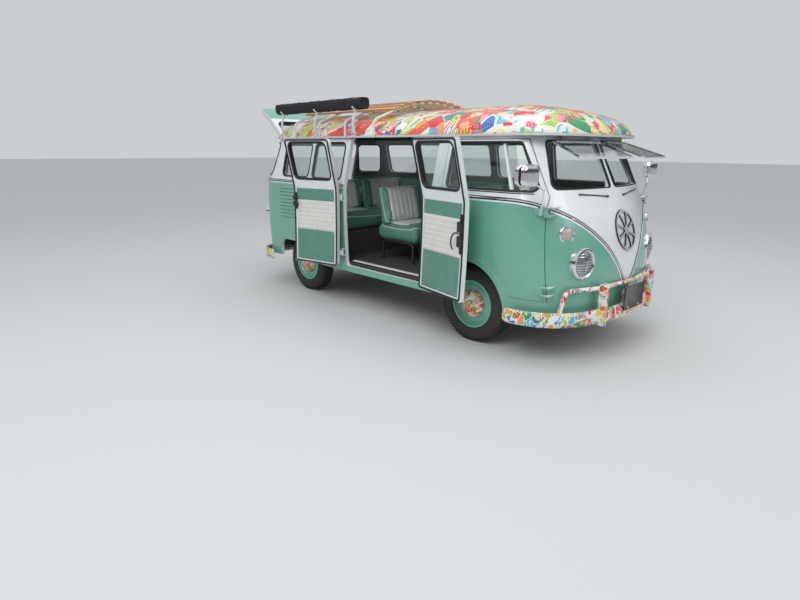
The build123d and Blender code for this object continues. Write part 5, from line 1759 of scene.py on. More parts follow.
@dataclass
class Leaf:
    """One leaf of the side doorway with its padded inner panels, seals and latch."""

    front: bool
    edge: float = 0.006
    frame_width: float = 0.036
    post_half: float = 0.012
    latch_z: Point2 = (1.060, 0.965)                 # of the rear and the front leaf
    latch_scale: Point2 = (0.55, 1.0)

    @property
    def node(self) -> str:
        """Name of the leaf's body and node."""
        return "door_side_front" if self.front else "door_side_rear"

    @property
    def place(self) -> Matrix:
        """From where the leaf is shut to where it stands.

        Returns:
            The matrix.
        """
        pivot = at(DOORWAY_X[self.front], SIDE_HINGE_Y, 0.0)
        angle = math.radians(SIDE_DOOR_OPEN if self.front else -SIDE_DOOR_OPEN)
        return Matrix.Translation(pivot) @ Matrix.Rotation(angle, 4, "Z") @ Matrix.Translation(-pivot)

    @property
    def span(self) -> Point2:
        """Limits of the shut leaf along the bus."""
        middle = sum(DOORWAY_X) / 2
        return ((middle + 0.006, DOORWAY_X[1] - self.edge) if self.front
                else (DOORWAY_X[0] + self.edge, middle - 0.006))

    def build(self) -> None:
        """Dress the leaf."""
        outward = tuple(self.place.to_3x3() @ -Y_AXIS)
        dress(self.node, SwungPaint(f"{self.node}_paint", MINT, WHITE, outward))
        dress(self.node.replace("door", "glass"), GLASS)
        skin = Skin([self.node], self.place)
        self._panels(skin)
        self._rubber(skin)
        self._latch(skin)

    def _panels(self, skin: Skin) -> None:
        """Green, white ribbed and green panel on the inner face.

        Args:
            skin: the shut leaf's surface.
        """
        x = (self.span[0] + self.frame_width, self.span[1] - self.frame_width)
        work = Meshwork(f"{self.node}_panels")
        pad_on(work, skin, x, (1.070, 1.185), GREEN_VINYL)
        pad_on(work, skin, x, (0.775, 1.066), WHITE_VINYL, 0.0415)
        pad_on(work, skin, x, (0.462, 0.771), GREEN_VINYL)
        work.build(self.node, self.place, sharp=60)
        screws = [at(px, 0.0, pz) for px in (x[0] + 0.018, sum(x) / 2, x[1] - 0.018)
                  for pz in (1.170, 1.086, 0.755, 0.480)]
        hits, normals = skin.cast_all(screws, -Y_AXIS)
        turn = self.place.to_3x3()
        block = Meshwork("screw").lathe(Vector(), Z_AXIS,
                                        ((0.0, 0.0095), (0.003, 0.009), (0.0055, 0.0068), (0.0055, 0.004)),
                                        CHROME, 12)
        Repeats(f"{self.node}_screws", block, SATIN_METAL, self.node, [self.place @ h for h in hits],
                [turn @ n for n in normals]).on_points()

    def _rubber(self, skin: Skin) -> None:
        """Door seal round the inner face and the window's rubber on both faces.

        Args:
            skin: the shut leaf's surface.
        """
        work = Meshwork(f"{self.node}_seals")
        border = rounded_outline(rectangle(self.span, (DOORWAY_Z[0] + 0.008, DOORWAY_Z[1] - 0.008)), 0.030)
        lay_ring(work, skin, grown(border, -0.010), from_y(0.0), -Y_AXIS,
                 ((0.009, 0.0), (0.009, 0.007), (0.002, 0.010), (-0.005, 0.007), (-0.006, 0.0)))
        outline = rounded_outline(rectangle(LEAF_WINDOWS[self.front], WINDOW_Z), WINDOW_CORNER)
        lay_seal(work, skin, outline, from_y(0.0), -Y_AXIS)
        lay_seal(work, skin, outline, from_y(-BESIDE), Y_AXIS)
        work.build(self.node, self.place)

    def _latch(self, skin: Skin) -> None:
        """Lock case with a curved pull handle near the free edge.

        Args:
            skin: the shut leaf's surface.
        """
        free = self.span[0] if self.front else self.span[1]
        inward = 1.0 if self.front else -1.0
        hit = skin.cast(at(free + inward * 0.030, 0.0, self.latch_z[self.front]), -Y_AXIS)
        if hit is None:
            return
        base = hit[0]
        work = Meshwork(f"{self.node}_latch")
        scale = self.latch_scale[self.front]
        for low, high in ((-0.105, -0.025), (0.010, 0.085)):
            work.block(base + Vector((-0.022, 0.0, low * scale)), base + Vector((0.024, 0.030, high * scale)),
                       BLACK_STEEL)
        half = self.post_half
        work.block(base + Vector((-half, 0.0, -0.16 * scale)), base + Vector((half, half, 0.14 * scale)),
                   BLACK_STEEL)
        handle = [base + Vector((inward * a, b, c * scale)) for a, b, c in
                  ((0.0, 0.030, 0.0), (0.022, 0.044, 0.004), (0.050, 0.050, -0.020), (0.066, 0.050, -0.060),
                   (0.062, 0.048, -0.105), (0.050, 0.044, -0.125))]
        work.tube(smooth_path(handle, 4), 0.0062, BLACK_STEEL, 10)
        work.build(self.node, self.place, bevel=0.0015)


def pad_on(work: Meshwork, skin: Skin, x: Point2, z: Point2, finish: Finish, pitch: float = 0.0) -> None:
    """A padded panel on the inner face of a right-hand wall, ribbed along the bus where it has a pitch.

    Args:
        work: the piece that takes it.
        skin: the wall.
        x: limits along the bus.
        z: limits of height.
        finish: of the panel.
        pitch: height of one rib, or 0 for a plain panel.
    """
    columns = max(8, int((x[1] - x[0]) / 0.03))
    lines = max(12, int((z[1] - z[0]) / (pitch / 8 if pitch else 0.02)))
    rows = []
    for i in range(lines + 1):
        height = z[0] + (z[1] - z[0]) * i / lines
        row = []
        for k in range(columns + 1):
            hit = skin.cast(at(x[0] + (x[1] - x[0]) * k / columns, 0.0, height), -Y_AXIS)
            if hit is None:
                return
            inner = min(i, lines - i, 1) * min(k, columns - k, 1)
            rise = PAD_THICK * (0.15 + 0.85 * inner)
            if pitch:
                rise += RIB_RISE * abs(math.sin(math.pi * (height - z[0]) / pitch)) ** 0.6 * inner
            row.append(hit[0] + hit[1] * rise)
        rows.append(row)
    work.rings(rows, finish, closed_ring=False)


@dataclass
class Gate:
    """The raised tailgate: paint, window rubber, edge seal and lock."""

    half: float = 0.520
    height: Point2 = (0.955, 1.648)
    window_half: float = 0.450
    window: Point2 = (1.278, 1.612)
    lock_z: float = 1.010

    @property
    def place(self) -> Matrix:
        """From where the gate is shut to where it stands.

        Returns:
            The matrix.
        """
        pivot = at(TAILGATE_HINGE[0], 0.0, TAILGATE_HINGE[1])
        turn = Matrix.Rotation(math.radians(TAILGATE_OPEN), 4, "Y")
        return Matrix.Translation(pivot) @ turn @ Matrix.Translation(-pivot)

    def build(self) -> None:
        """Dress the gate."""
        turn = self.place.to_3x3()
        pivot = (TAILGATE_HINGE[0], 0.0, TAILGATE_HINGE[1])
        dress("tailgate", SwungPaint("tailgate_paint", MINT, WHITE, tuple(turn @ -X_AXIS),
                                     tuple(turn @ Z_AXIS), pivot))
        dress("glass_tailgate", GLASS)
        skin = Skin(["tailgate"], self.place)
        work = Meshwork("tailgate_seals")
        window = rounded_outline(rectangle((-self.window_half, self.window_half), self.window), 0.070)
        lay_seal(work, skin, window, from_x(BEHIND_X), X_AXIS)
        lay_seal(work, skin, window, from_x(IN_TAIL_X), -X_AXIS)
        border = rounded_outline(rectangle((-self.half, self.half), self.height), 0.085)
        lay_ring(work, skin, grown(border, -0.014), from_x(IN_TAIL_X), -X_AXIS,
                 ((0.007, 0.0), (0.006, 0.006), (0.0, 0.008), (-0.006, 0.0)))
        hit = skin.cast(at(BEHIND_X, 0.0, self.lock_z), X_AXIS)
        if hit:
            work.lathe(hit[0], hit[1], ((0.0, 0.014), (0.012, 0.013), (0.016, 0.008), (0.022, 0.004),
                                        (0.024, 0.0)), CHROME, 32)
        work.build("tailgate", self.place)


@dataclass
class Wheel:
    """A tyre with tread and sidewall rings, and the rim's paint and capped hub."""

    end: str
    side: Side
    cap_r: float = 0.118
    width: float = 0.160
    rim_r: float = 0.2033
    lugs: int = 72
    lug_y: float = 0.0515

    @property
    def name(self) -> str:
        """Ending of this wheel's names."""
        return f"{self.end}_{self.side.name.lower()}"

    def build(self) -> None:
        """Tyre, tread blocks and rim."""
        low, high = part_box(f"tyre_{self.name}")
        centre = (low + high) / 2
        body = f"wheel_{self.name}"
        half = self.width / 2
        walls = [(r, half + out) for r, out in
                 ((self.rim_r, -0.013), (0.212, -0.004), (0.222, -0.0045), (0.226, -0.0015), (0.236, 0.0),
                  (0.262, 0.0005), (0.266, -0.001), (0.284, -0.0015), (0.300, -0.010), (0.311, -0.022),
                  (0.318, -0.028), (TYRE_R - 0.0035, -0.030))]
        tread = [(TYRE_R - deep, y) for deep, y in
                 ((0.0015, 0.036), (0.011, 0.035), (0.011, 0.029), (0.001, 0.028), (0.0, 0.005),
                  (0.010, 0.004))]
        outer = walls + tread
        profile = outer + [(r, -h) for r, h in reversed(outer)]
        tyre = Meshwork(f"tyre_{self.name}_rubber")
        tyre.lathe(centre, Y_AXIS, profile + profile[:1], TYRE_RUBBER, 96)
        tyre.build(body, replaces=(f"tyre_{self.name}",), slot="tyre_rubber", sharp=40)
        for offset, name in ((self.lug_y, "out"), (-self.lug_y, "in")):
            block = Meshwork("lug").block(Vector((-0.006, offset - 0.014, -0.010)),
                                          Vector((0.006, offset + 0.014, 0.0004)), TYRE_RUBBER)
            Repeats(f"tread_{self.name}_{name}", block, TYRE_RUBBER, body).round_axle(
                centre, TYRE_R - 0.002, self.lugs)
        dress(f"rim_{self.name}", CapAndRim(f"rim_{self.name}_finish", tuple(centre), self.cap_r, MINT))


@dataclass
class Front:
    """Lamps, badge, bumpers, plate, mirrors and windscreen frames."""

    plate_half: float = 0.165
    plate_z: Point2 = (0.372, 0.562)
    plate_x: float = 1.029
    bolt_z: float = 0.388
    bolt_half: float = 0.089
    mirror: Point3 = (0.612, 0.985, 1.405)
    mirror_half: Point2 = (0.098, 0.073)
    bumper_z: float = 0.3685
    lid_lock_z: float = 0.620

    def build(self) -> None:
        """Dress what the front carries, and the rear bumper and lid."""
        dress("lamps", LAMPS)
        dress("nose_trim", NOSE_TRIM)
        for node in ("bumper_front", "bumper_rear"):
            dress(node, BUMPER_STICKERS)
        for node in ("mirror_left", "mirror_right", "windscreen_frames"):
            dress(node, CHROME)
        self._plate()
        self._mirrors()
        self._bumper_bolts()
        self._lid()

    def _plate(self) -> None:
        """A blank black plate in a raised frame on its two bolts."""
        work = Meshwork("number_plate")
        outline = rounded_outline(rectangle((-self.plate_half, self.plate_half), self.plate_z), 0.012, 0.006)
        back, face = self.plate_x, self.plate_x + 0.004
        rows = [[at(x, *p) for p in grown(outline, d)] for x, d in
                ((back, 0.0), (face + 0.003, 0.0), (face + 0.004, -0.004), (face + 0.001, -0.008),
                 (face, -0.010))]
        work.rings(rows, PLATE_FACE)
        for sign in (1, -1):
            work.lathe(at(face, sign * self.bolt_half, self.bolt_z), X_AXIS,
                       ((0.0, 0.007), (0.004, 0.0065), (0.007, 0.004), (0.0095, 0.0035), (0.0095, 0.0)),
                       CHROME, 24)
        work.build("body", sharp=50)

    def _mirrors(self) -> None:
        """A domed shell before each mirror head and a beaded rim round its glass."""
        for side in Side:
            sign = side.value
            name = f"mirror_{side.name.lower()}"
            x, y, z = self.mirror[0], sign * self.mirror[1], self.mirror[2]
            head = at(x, y, z)
            skin = Skin([name])
            ahead = skin.cast(head + X_AXIS * 0.5, -X_AXIS)
            behind = skin.cast(head - X_AXIS * 0.5, X_AXIS)
            if not ahead or not behind:
                continue
            half_y, half_z = self.mirror_half
            corners = rectangle((y - half_y, y + half_y), (z - half_z, z + half_z))
            outline = rounded_outline(corners, 0.044, 0.008)
            work = Meshwork(f"{name}_shell")
            front = ahead[0].x - ORIGIN.x
            rows = []
            for i in range(9):
                share = 1 - i / 9
                rise = 0.030 * (1 - share * share) ** 0.5
                rows.append([at(front - 0.004 + rise, y + (u - y) * share ** 0.5, z + (v - z) * share ** 0.5)
                             for u, v in outline])
            work.rings(rows, CHROME)
            back = behind[0].x - ORIGIN.x
            work.tube([at(back, *p) for p in grown(outline, -0.004)], 0.0035, CHROME, 8, closed=True)
            work.build("door_cab_left" if side is Side.LEFT else "body", sharp=60)

    def _bumper_bolts(self) -> None:
        """Round-headed bolts along both bumpers."""
        block = Meshwork("bolt").lathe(Vector(), Z_AXIS,
                                       ((0.0, 0.006), (0.006, 0.0055), (0.010, 0.002), (0.0105, -0.001)),
                                       CHROME, 16)
        rows = (("front", -1.0, (0.20, 0.30, 0.52, 0.66)), ("rear", 1.0, (0.22, 0.45, 0.62)))
        for name, way, places in rows:
            skin = Skin([f"bumper_{name}"])
            starts = [at(-3.0 * way - 1.2, sign * y, self.bumper_z) for y in places for sign in (1, -1)]
            points, normals = skin.cast_all(starts, way * X_AXIS)
            Repeats(f"bumper_bolts_{name}", block, CHROME, "body", points, normals).on_points()

    def _lid(self) -> None:
        """Bright ring round the engine lid's lock."""
        skin = Skin(["engine_lid"])
        hit = skin.cast(at(BEHIND_X, 0.0, 0.585), X_AXIS)
        if hit:
            work = Meshwork("engine_lid_lock")
            work.lathe(Vector((hit[0].x, ORIGIN.y, at(0, 0, self.lid_lock_z).z)), -X_AXIS,
                       ((0.024, 0.002), (0.022, 0.005), (0.018, 0.006), (0.017, 0.0)), CHROME, 32)
            work.build("engine_lid")


# Roof load

@dataclass
class RoofLoad:
    """The slatted rack with its bolts and the rolled awning in its bag."""

    bows: tuple[float, ...] = (-2.480, -2.050, -1.620, -1.190)
    slats: int = 11
    spread: float = 0.335
    arch_z: float = 0.394
    slat_r: float = 1.6452
    bag_x: Point2 = (-2.858, -1.372)
    bag_y: float = -0.735
    bag_z: float = 1.990
    bag_half: Point2 = (0.058, 0.056)
    legs: tuple[float, ...] = (-2.740, -2.115, -1.490)

    def build(self) -> None:
        """Rack finish, bolts and bag."""
        dress("roof_rack", RACK_PAINT)
        self._bolts()
        self._bag()

    def _bolts(self) -> None:
        """One bolt where each slat crosses each bow."""
        block = Meshwork("bolt").lathe(Vector(), Z_AXIS,
                                       ((0.0, 0.0035), (0.005, 0.003), (0.0085, 0.0), (0.0085, -0.001)),
                                       SATIN_METAL, 12)
        points, normals = [], []
        for i in range(self.slats):
            turn = self.spread * (2 * i / (self.slats - 1) - 1)
            out = Vector((0.0, math.sin(turn), math.cos(turn)))
            for x in self.bows:
                points.append(at(x, 0.0, self.arch_z) + out * self.slat_r)
                normals.append(out)
        Repeats("rack_bolts", block, SATIN_METAL, "body", points, normals).on_points()

    def _section(self, t: float, share: float) -> list[Vector]:
        """One ring of the bag.

        Args:
            t: place along the bag from 0 to 1.
            share: size of the ring.

        Returns:
            The ring's points.
        """
        x = self.bag_x[0] + (self.bag_x[1] - self.bag_x[0]) * t
        sag = 0.0035 * (1.0 - min(math.exp(-((x - leg) / 0.10) ** 2) for leg in self.legs))
        tuck = sum(math.exp(-((x - leg) / 0.022) ** 2) for leg in self.legs)
        hem = sum(math.exp(-((t - place) / 0.004) ** 2) for place in (0.06, 0.13, 0.46, 0.80))
        ring = []
        for k in range(40):
            angle = 2 * math.pi * k / 40
            c, s = math.cos(angle), math.sin(angle)
            u = math.copysign(abs(c) ** 0.62, c)
            v = math.copysign(abs(s) ** 0.62, s)
            fold = (0.0016 * math.sin(31.0 * t + 3.0 * angle) + 0.0012 * math.sin(83.0 * t - 2.0 * angle)
                    + 0.0010 * math.sin(190.0 * t + 5.0 * angle + 1.3))
            size = share * (0.965 + fold / 0.058 - 0.045 * tuck + 0.025 * hem)
            ring.append(at(x, self.bag_y + u * self.bag_half[0] * size,
                           self.bag_z - sag + v * self.bag_half[1] * size))
        return ring

    def _bag(self) -> None:
        """Lofted cover with folds, hems and tucked-in ends, a zip and straps."""
        work = Meshwork("awning_cover")
        rows = [self._section(0.010, 0.70), self._section(0.004, 0.86), self._section(0.0, 0.95)]
        rows += [self._section(0.004 + 0.992 * i / 150, 1.0) for i in range(151)]
        rows += [self._section(1.0, 0.95), self._section(0.996, 0.86), self._section(0.990, 0.70)]
        work.rings(rows, AWNING_CLOTH)
        cover = work.build("body", replaces=("awning_bag",), slot="awning_cloth", sharp=70)
        skin = tree_of(cover.data)
        zip_line = Meshwork("awning_zip")
        points = []
        for i in range(71):
            x = self.bag_x[0] + 0.02 + (self.bag_x[1] - self.bag_x[0] - 0.04) * i / 70
            hit = skin.ray_cast(at(x, self.bag_y - 0.3, self.bag_z + 0.022), Y_AXIS)[0]
            if hit:
                points.append(hit + Y_AXIS * 0.001)
        zip_line.tube(points, 0.0034, BLACK_RUBBER, 8)
        for x in self.legs:
            middle = at(x, self.bag_y, self.bag_z)
            angles = [2 * math.pi * k / 48 for k in range(48)]
            ways = [Vector((0.0, math.cos(angle), math.sin(angle))) for angle in angles]
            strap = [skin.ray_cast(middle + way * 0.3, -way)[0] for way in ways]
            rows = [[p + X_AXIS * dx + (p - middle).normalized() * up for p in strap]
                    for dx, up in ((-0.016, -0.002), (-0.016, 0.0018), (0.016, 0.0018), (0.016, -0.002))]
            zip_line.rings(rows, BLACK_RUBBER, closed_way=True)
        zip_line.build("body")


# Inside

@dataclass(frozen=True)
class BenchSize:
    """Limits of one bench, depth of its back, how far that leans and where its seam is, in metres."""

    node: str
    rear: float
    front: float
    right: float
    left: float
    top: float
    back_top: float
    depth: float
    lean: float
    seam: float

    @property
    def sections(self) -> tuple[Point2, ...]:
        """Sideways limits of the two backs."""
        return (self.right, self.seam), (self.seam, self.left)


@dataclass
class Upholstery:
    """Benches whose cushions and backs swell as filled covers, with channels, seams and piping."""

    thick: float = 0.175
    taper: float = 0.8
    shrink: float = 0.011
    cap: float = 0.022
    voxel: float = 0.014
    steps: int = 20
    pitch: float = 0.060
    roll: float = 0.19
    seam_rise: float = 0.020
    groove: float = 0.0075
    benches: tuple[BenchSize, ...] = (
        BenchSize("bench_front", -0.345, 0.150, -0.640, 0.640, 0.9203, 1.275, 0.105, 0.040, 0.130),
        BenchSize("bench_middle", -1.560, -0.940, -0.480, 0.700, 0.835, 1.215, 0.125, 0.095, 0.105),
        BenchSize("bench_rear", -2.405, -1.840, -0.690, 0.690, 0.8903, 1.245, 0.115, 0.060, 0.0),
    )

    def build(self) -> None:
        pads: list[tuple[Thing, BenchSize, bool, Point2]] = []
        for bench in self.benches:
            finish = self._finish(bench)
            pads.append((self._cushion(bench, finish), bench, False, (bench.right, bench.left)))
            for i, section in enumerate(bench.sections):
                pads.append((self._back(bench, section, i, finish), bench, True, section))
        self._swell([pad for pad, *_ in pads])
        for pad, bench, is_back, _section in pads:
            self._sew(pad, bench, is_back)
            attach(pad, "body")
            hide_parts(bench.node)
            LOG.info("%s on body: %d faces", pad.name, len(pad.data.polygons))
        for bench in self.benches:
            self._piping(bench, [(pad, is_back, section) for pad, owner, is_back, section in pads
                                 if owner is bench])
        self._legs(self.benches[1])

    def _bands(self, section: Point2) -> Point2:
        """Limits of the pale centre of one section."""
        wide = section[1] - section[0]
        return section[0] + 0.17 * wide, section[1] - 0.17 * wide

    def _finish(self, bench: BenchSize) -> BenchVinyl:
        """The bench's vinyl, whose pale bands follow its sections."""
        return BenchVinyl(f"{bench.node}_vinyl", tuple(self._bands(s) for s in bench.sections),
                          bench.front - self.roll, bench.top + self.seam_rise)

    def _pillow(self, name: str, half: Vector, corner: float, shape: Callable[[Vector], Vector],
                finish: Finish) -> Thing:
        """A crowned closed form with its sides pulled in, remeshed evenly.

        Args:
            name: of the piece.
            half: half sizes before it swells.
            corner: radius of its edges.
            shape: from the pillow's own axes to the frame.
            finish: of the piece.

        Returns:
            The piece, not yet swollen.
        """
        cuts = [max(4, int(2 * h / 0.03)) for h in half]
        rows: dict[tuple[int, ...], int] = {}
        points: list[Vector] = []
        faces: list[tuple[int, ...]] = []

        def index(cell: tuple[int, ...]) -> int:
            """Number of the point of a grid cell on the block's surface.

            Args:
                cell: its three counts.

            Returns:
                The number.
            """
            if cell not in rows:
                unit = Vector([2.0 * c / n - 1.0 for c, n in zip(cell, cuts)])
                raw = Vector([u * h for u, h in zip(unit, half)])
                core = Vector([max(corner - h, min(h - corner, r)) for r, h in zip(raw, half)])
                away = raw - core
                moved = core + (away.normalized() * corner if away.length > corner else away)
                moved.x -= math.copysign(0.006, unit.x) * (1 - unit.y ** 2) * abs(unit.x) ** 3
                moved.y -= math.copysign(0.006, unit.y) * (1 - unit.x ** 2) * abs(unit.y) ** 3
                moved.z += unit.z * 0.008 * (1 - unit.x ** 2) * (1 - unit.y ** 2)
                rows[cell] = len(points)
                points.append(shape(moved))
            return rows[cell]

        for axis in range(3):
            first, second = [a for a in range(3) if a != axis]
            for end in (0, cuts[axis]):
                for i in range(cuts[first]):
                    for k in range(cuts[second]):
                        cell = [0, 0, 0]
                        cell[axis] = end
                        ring = []
                        for di, dk in ((0, 0), (1, 0), (1, 1), (0, 1)):
                            cell[first], cell[second] = i + di, k + dk
                            ring.append(index(tuple(cell)))
                        faces.append(tuple(ring))
        pad = linked(name, Meshwork(name).add(points, faces, finish).mesh())
        remesh = pad.modifiers.new("even", "REMESH")
        remesh.mode = "VOXEL"
        remesh.voxel_size = self.voxel
        self._bake(pad)
        return pad

    def _bake(self, pad: Thing) -> None:
        """Turn what the modifiers show into the pad's own mesh and take them off.

        Args:
            pad: the piece.
        """
        mesh = shown_mesh(pad)
        mesh.name = pad.name
        pad.modifiers.clear()
        pad.data = mesh

    def _cushion(self, bench: BenchSize, finish: Finish) -> Thing:
        """The seat of one bench.

        Args:
            bench: its limits.
            finish: of the seat.

        Returns:
            The piece, not yet swollen.
        """
        low = Vector((bench.rear, bench.right, bench.top - self.thick))
        high = Vector((bench.front, bench.left, bench.top))
        half = (high - low) / 2 - Vector((self.shrink,) * 3)
        centre = at(*((low + high) / 2))
        return self._pillow(f"{bench.node}_cushion", half, 0.055, lambda p: centre + p, finish)

    def _back(self, bench: BenchSize, section: Point2, number: int, finish: Finish) -> Thing:
        """One back of a bench, leaning and thinner at its head.

        Args:
            bench: its limits.
            section: sideways limits of the back.
            number: of the section.
            finish: of the back.

        Returns:
            The piece, not yet swollen.
        """
        foot_z, head_z = bench.top - 0.030, bench.back_top
        full = bench.top - self.thick / 2
        half = Vector(((section[1] - section[0]) / 2 - 0.008, (head_z - foot_z) / 2 - 0.003,
                       bench.depth * 0.9 / 2 - 0.010))
        middle_y = sum(section) / 2

        def shape(p: Vector) -> Vector:
            """From across, up and out to the frame.

            Args:
                p: point on the pillow's own axes.

            Returns:
                Its place in the frame.
            """
            z = (foot_z + head_z) / 2 + p.y
            share = (z - full) / (head_z - full)
            rear = bench.rear + bench.lean * (1 - share)
            deep = bench.depth * (1 - (1 - self.taper) * share)
            return at(rear + deep / 2 + p.z * deep / (bench.depth * 0.9), middle_y + p.x, z)

        return self._pillow(f"{bench.node}_back_{number + 1}", half, 0.030, shape, finish)

    def _swell(self, pads: Sequence[Thing]) -> None:
        """Fill every cover with pressure for a few steps, then cap how far its points went.

        Args:
            pads: all the covers.
        """
        scene = bpy.context.scene
        for pad in pads:
            cloth = pad.modifiers.new("swell", "CLOTH")
            settings = cloth.settings
            settings.quality = 4
            settings.mass = 0.3
            settings.tension_stiffness = 12.0
            settings.compression_stiffness = 12.0
            settings.bending_stiffness = 0.6
            settings.use_pressure = True
            settings.uniform_pressure_force = 4.0
            settings.effector_weights.gravity = 0.0
            cloth.collision_settings.use_collision = False
            cloth.collision_settings.use_self_collision = False
            cloth.point_cache.frame_start = 1
            cloth.point_cache.frame_end = self.steps
        for step in range(1, self.steps + 1):
            scene.frame_set(step)
        graph = bpy.context.evaluated_depsgraph_get()
        for pad in pads:
            ends = [v.co.copy() for v in pad.evaluated_get(graph).data.vertices]
            pad.modifiers.clear()
            for vertex, end in zip(pad.data.vertices, ends):
                move = end - vertex.co
                if move.length > self.cap:
                    move *= self.cap / move.length
                vertex.co += move
        scene.frame_set(1)
        for pad in pads:
            smooth = pad.modifiers.new("round", "SUBSURF")
            smooth.levels = smooth.render_levels = 1
            self._bake(pad)

    def _lines(self, bench: BenchSize) -> list[float]:
        """Sideways places of the channels of one bench.

        Args:
            bench: its limits.

        Returns:
            The places.
        """
        found: list[float] = []
        for section in bench.sections:
            low, high = self._bands(section)
            count = max(1, round((high - low) / self.pitch))
            found += [low + (high - low) * i / count for i in range(count + 1)]
        return found

    def _sew(self, pad: Thing, bench: BenchSize, is_back: bool) -> None:
        """Press the channels into the pale centres and keep the pad inside its bench.

        Args:
            pad: a cushion or back.
            bench: its limits.
            is_back: whether it is a back.
        """
        mesh = pad.data
        mesh.shade_smooth()
        lines = self._lines(bench)
        normals = [v.normal.copy() for v in mesh.vertices]
        low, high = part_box(bench.node)
        for vertex, normal in zip(mesh.vertices, normals):
            place = vertex.co - ORIGIN
            looks = normal.x + normal.z if is_back else normal.z
            inside = place.z > bench.top + self.seam_rise if is_back else place.x < bench.front - self.roll
            if looks > 0.45 and inside:
                near = [place.y - y for y in lines if abs(place.y - y) < 0.03]
                groove = sum(math.exp(-(away / 0.007) ** 2) for away in near)
                vertex.co -= normal * self.groove * groove
            for axis in range(3):
                vertex.co[axis] = max(low[axis] - 0.010, min(high[axis] + 0.010, vertex.co[axis]))
        mesh.update()
        mesh.materials.clear()
        mesh.materials.append(self._finish(bench).material())

    def _piping(self, bench: BenchSize, pads: Sequence[tuple[Thing, bool, Point2]]) -> None:
        """Pale cord round the front of each back and the top of the cushion.

        Args:
            bench: its limits.
            pads: each with whether it is a back and its sideways limits.
        """
        work = Meshwork(f"{bench.node}_piping")
        for pad, is_back, section in pads:
            tree = tree_of(pad.data)
            if is_back:
                outline = rounded_outline(rectangle((section[0] + 0.030, section[1] - 0.030),
                                                    (bench.top + 0.012, bench.back_top - 0.022)), 0.035)
                starts = [from_x(bench.front + 0.3)(p) for p in outline]
                way = -X_AXIS
            else:
                outline = rounded_outline(rectangle((bench.rear + 0.050, bench.front - 0.046),
                                                    (bench.right + 0.046, bench.left - 0.046)), 0.075)
                starts = [at(*p, bench.top + 0.3) for p in outline]
                way = -Z_AXIS
            hits = [hit for hit in (tree.ray_cast(start, way)[0] for start in starts) if hit]
            if len(hits) > 8:
                work.tube([h - way * 0.001 for h in hits], 0.0046, WHITE_VINYL, 8, closed=True)
        work.build("body")

    def _legs(self, bench: BenchSize) -> None:
        """Two tubular stands below the middle bench.

        Args:
            bench: its limits.
        """
        work = Meshwork("bench_middle_stands")
        foot, head = 0.4503, bench.top - self.thick + 0.006
        for y in (bench.right + 0.080, bench.left - 0.080):
            rear, front = bench.rear + 0.075, bench.front - 0.105
            path = [at(rear, y, foot), at(rear, y, head - 0.045), at(rear + 0.012, y, head - 0.022),
                    at(rear + 0.045, y, head - 0.014), at(front - 0.045, y, head - 0.014),
                    at(front - 0.012, y, head - 0.022), at(front, y, head - 0.045), at(front, y, foot)]
            work.tube(path, 0.014, BLACK_STEEL, 12)
            for x in (rear, front):
                work.lathe(at(x, y, foot), Z_AXIS, ((0.0, 0.006), (0.026, 0.006), (0.030, 0.0)),
                           BLACK_STEEL, 20)
        work.build("body", replaces=(bench.node,))


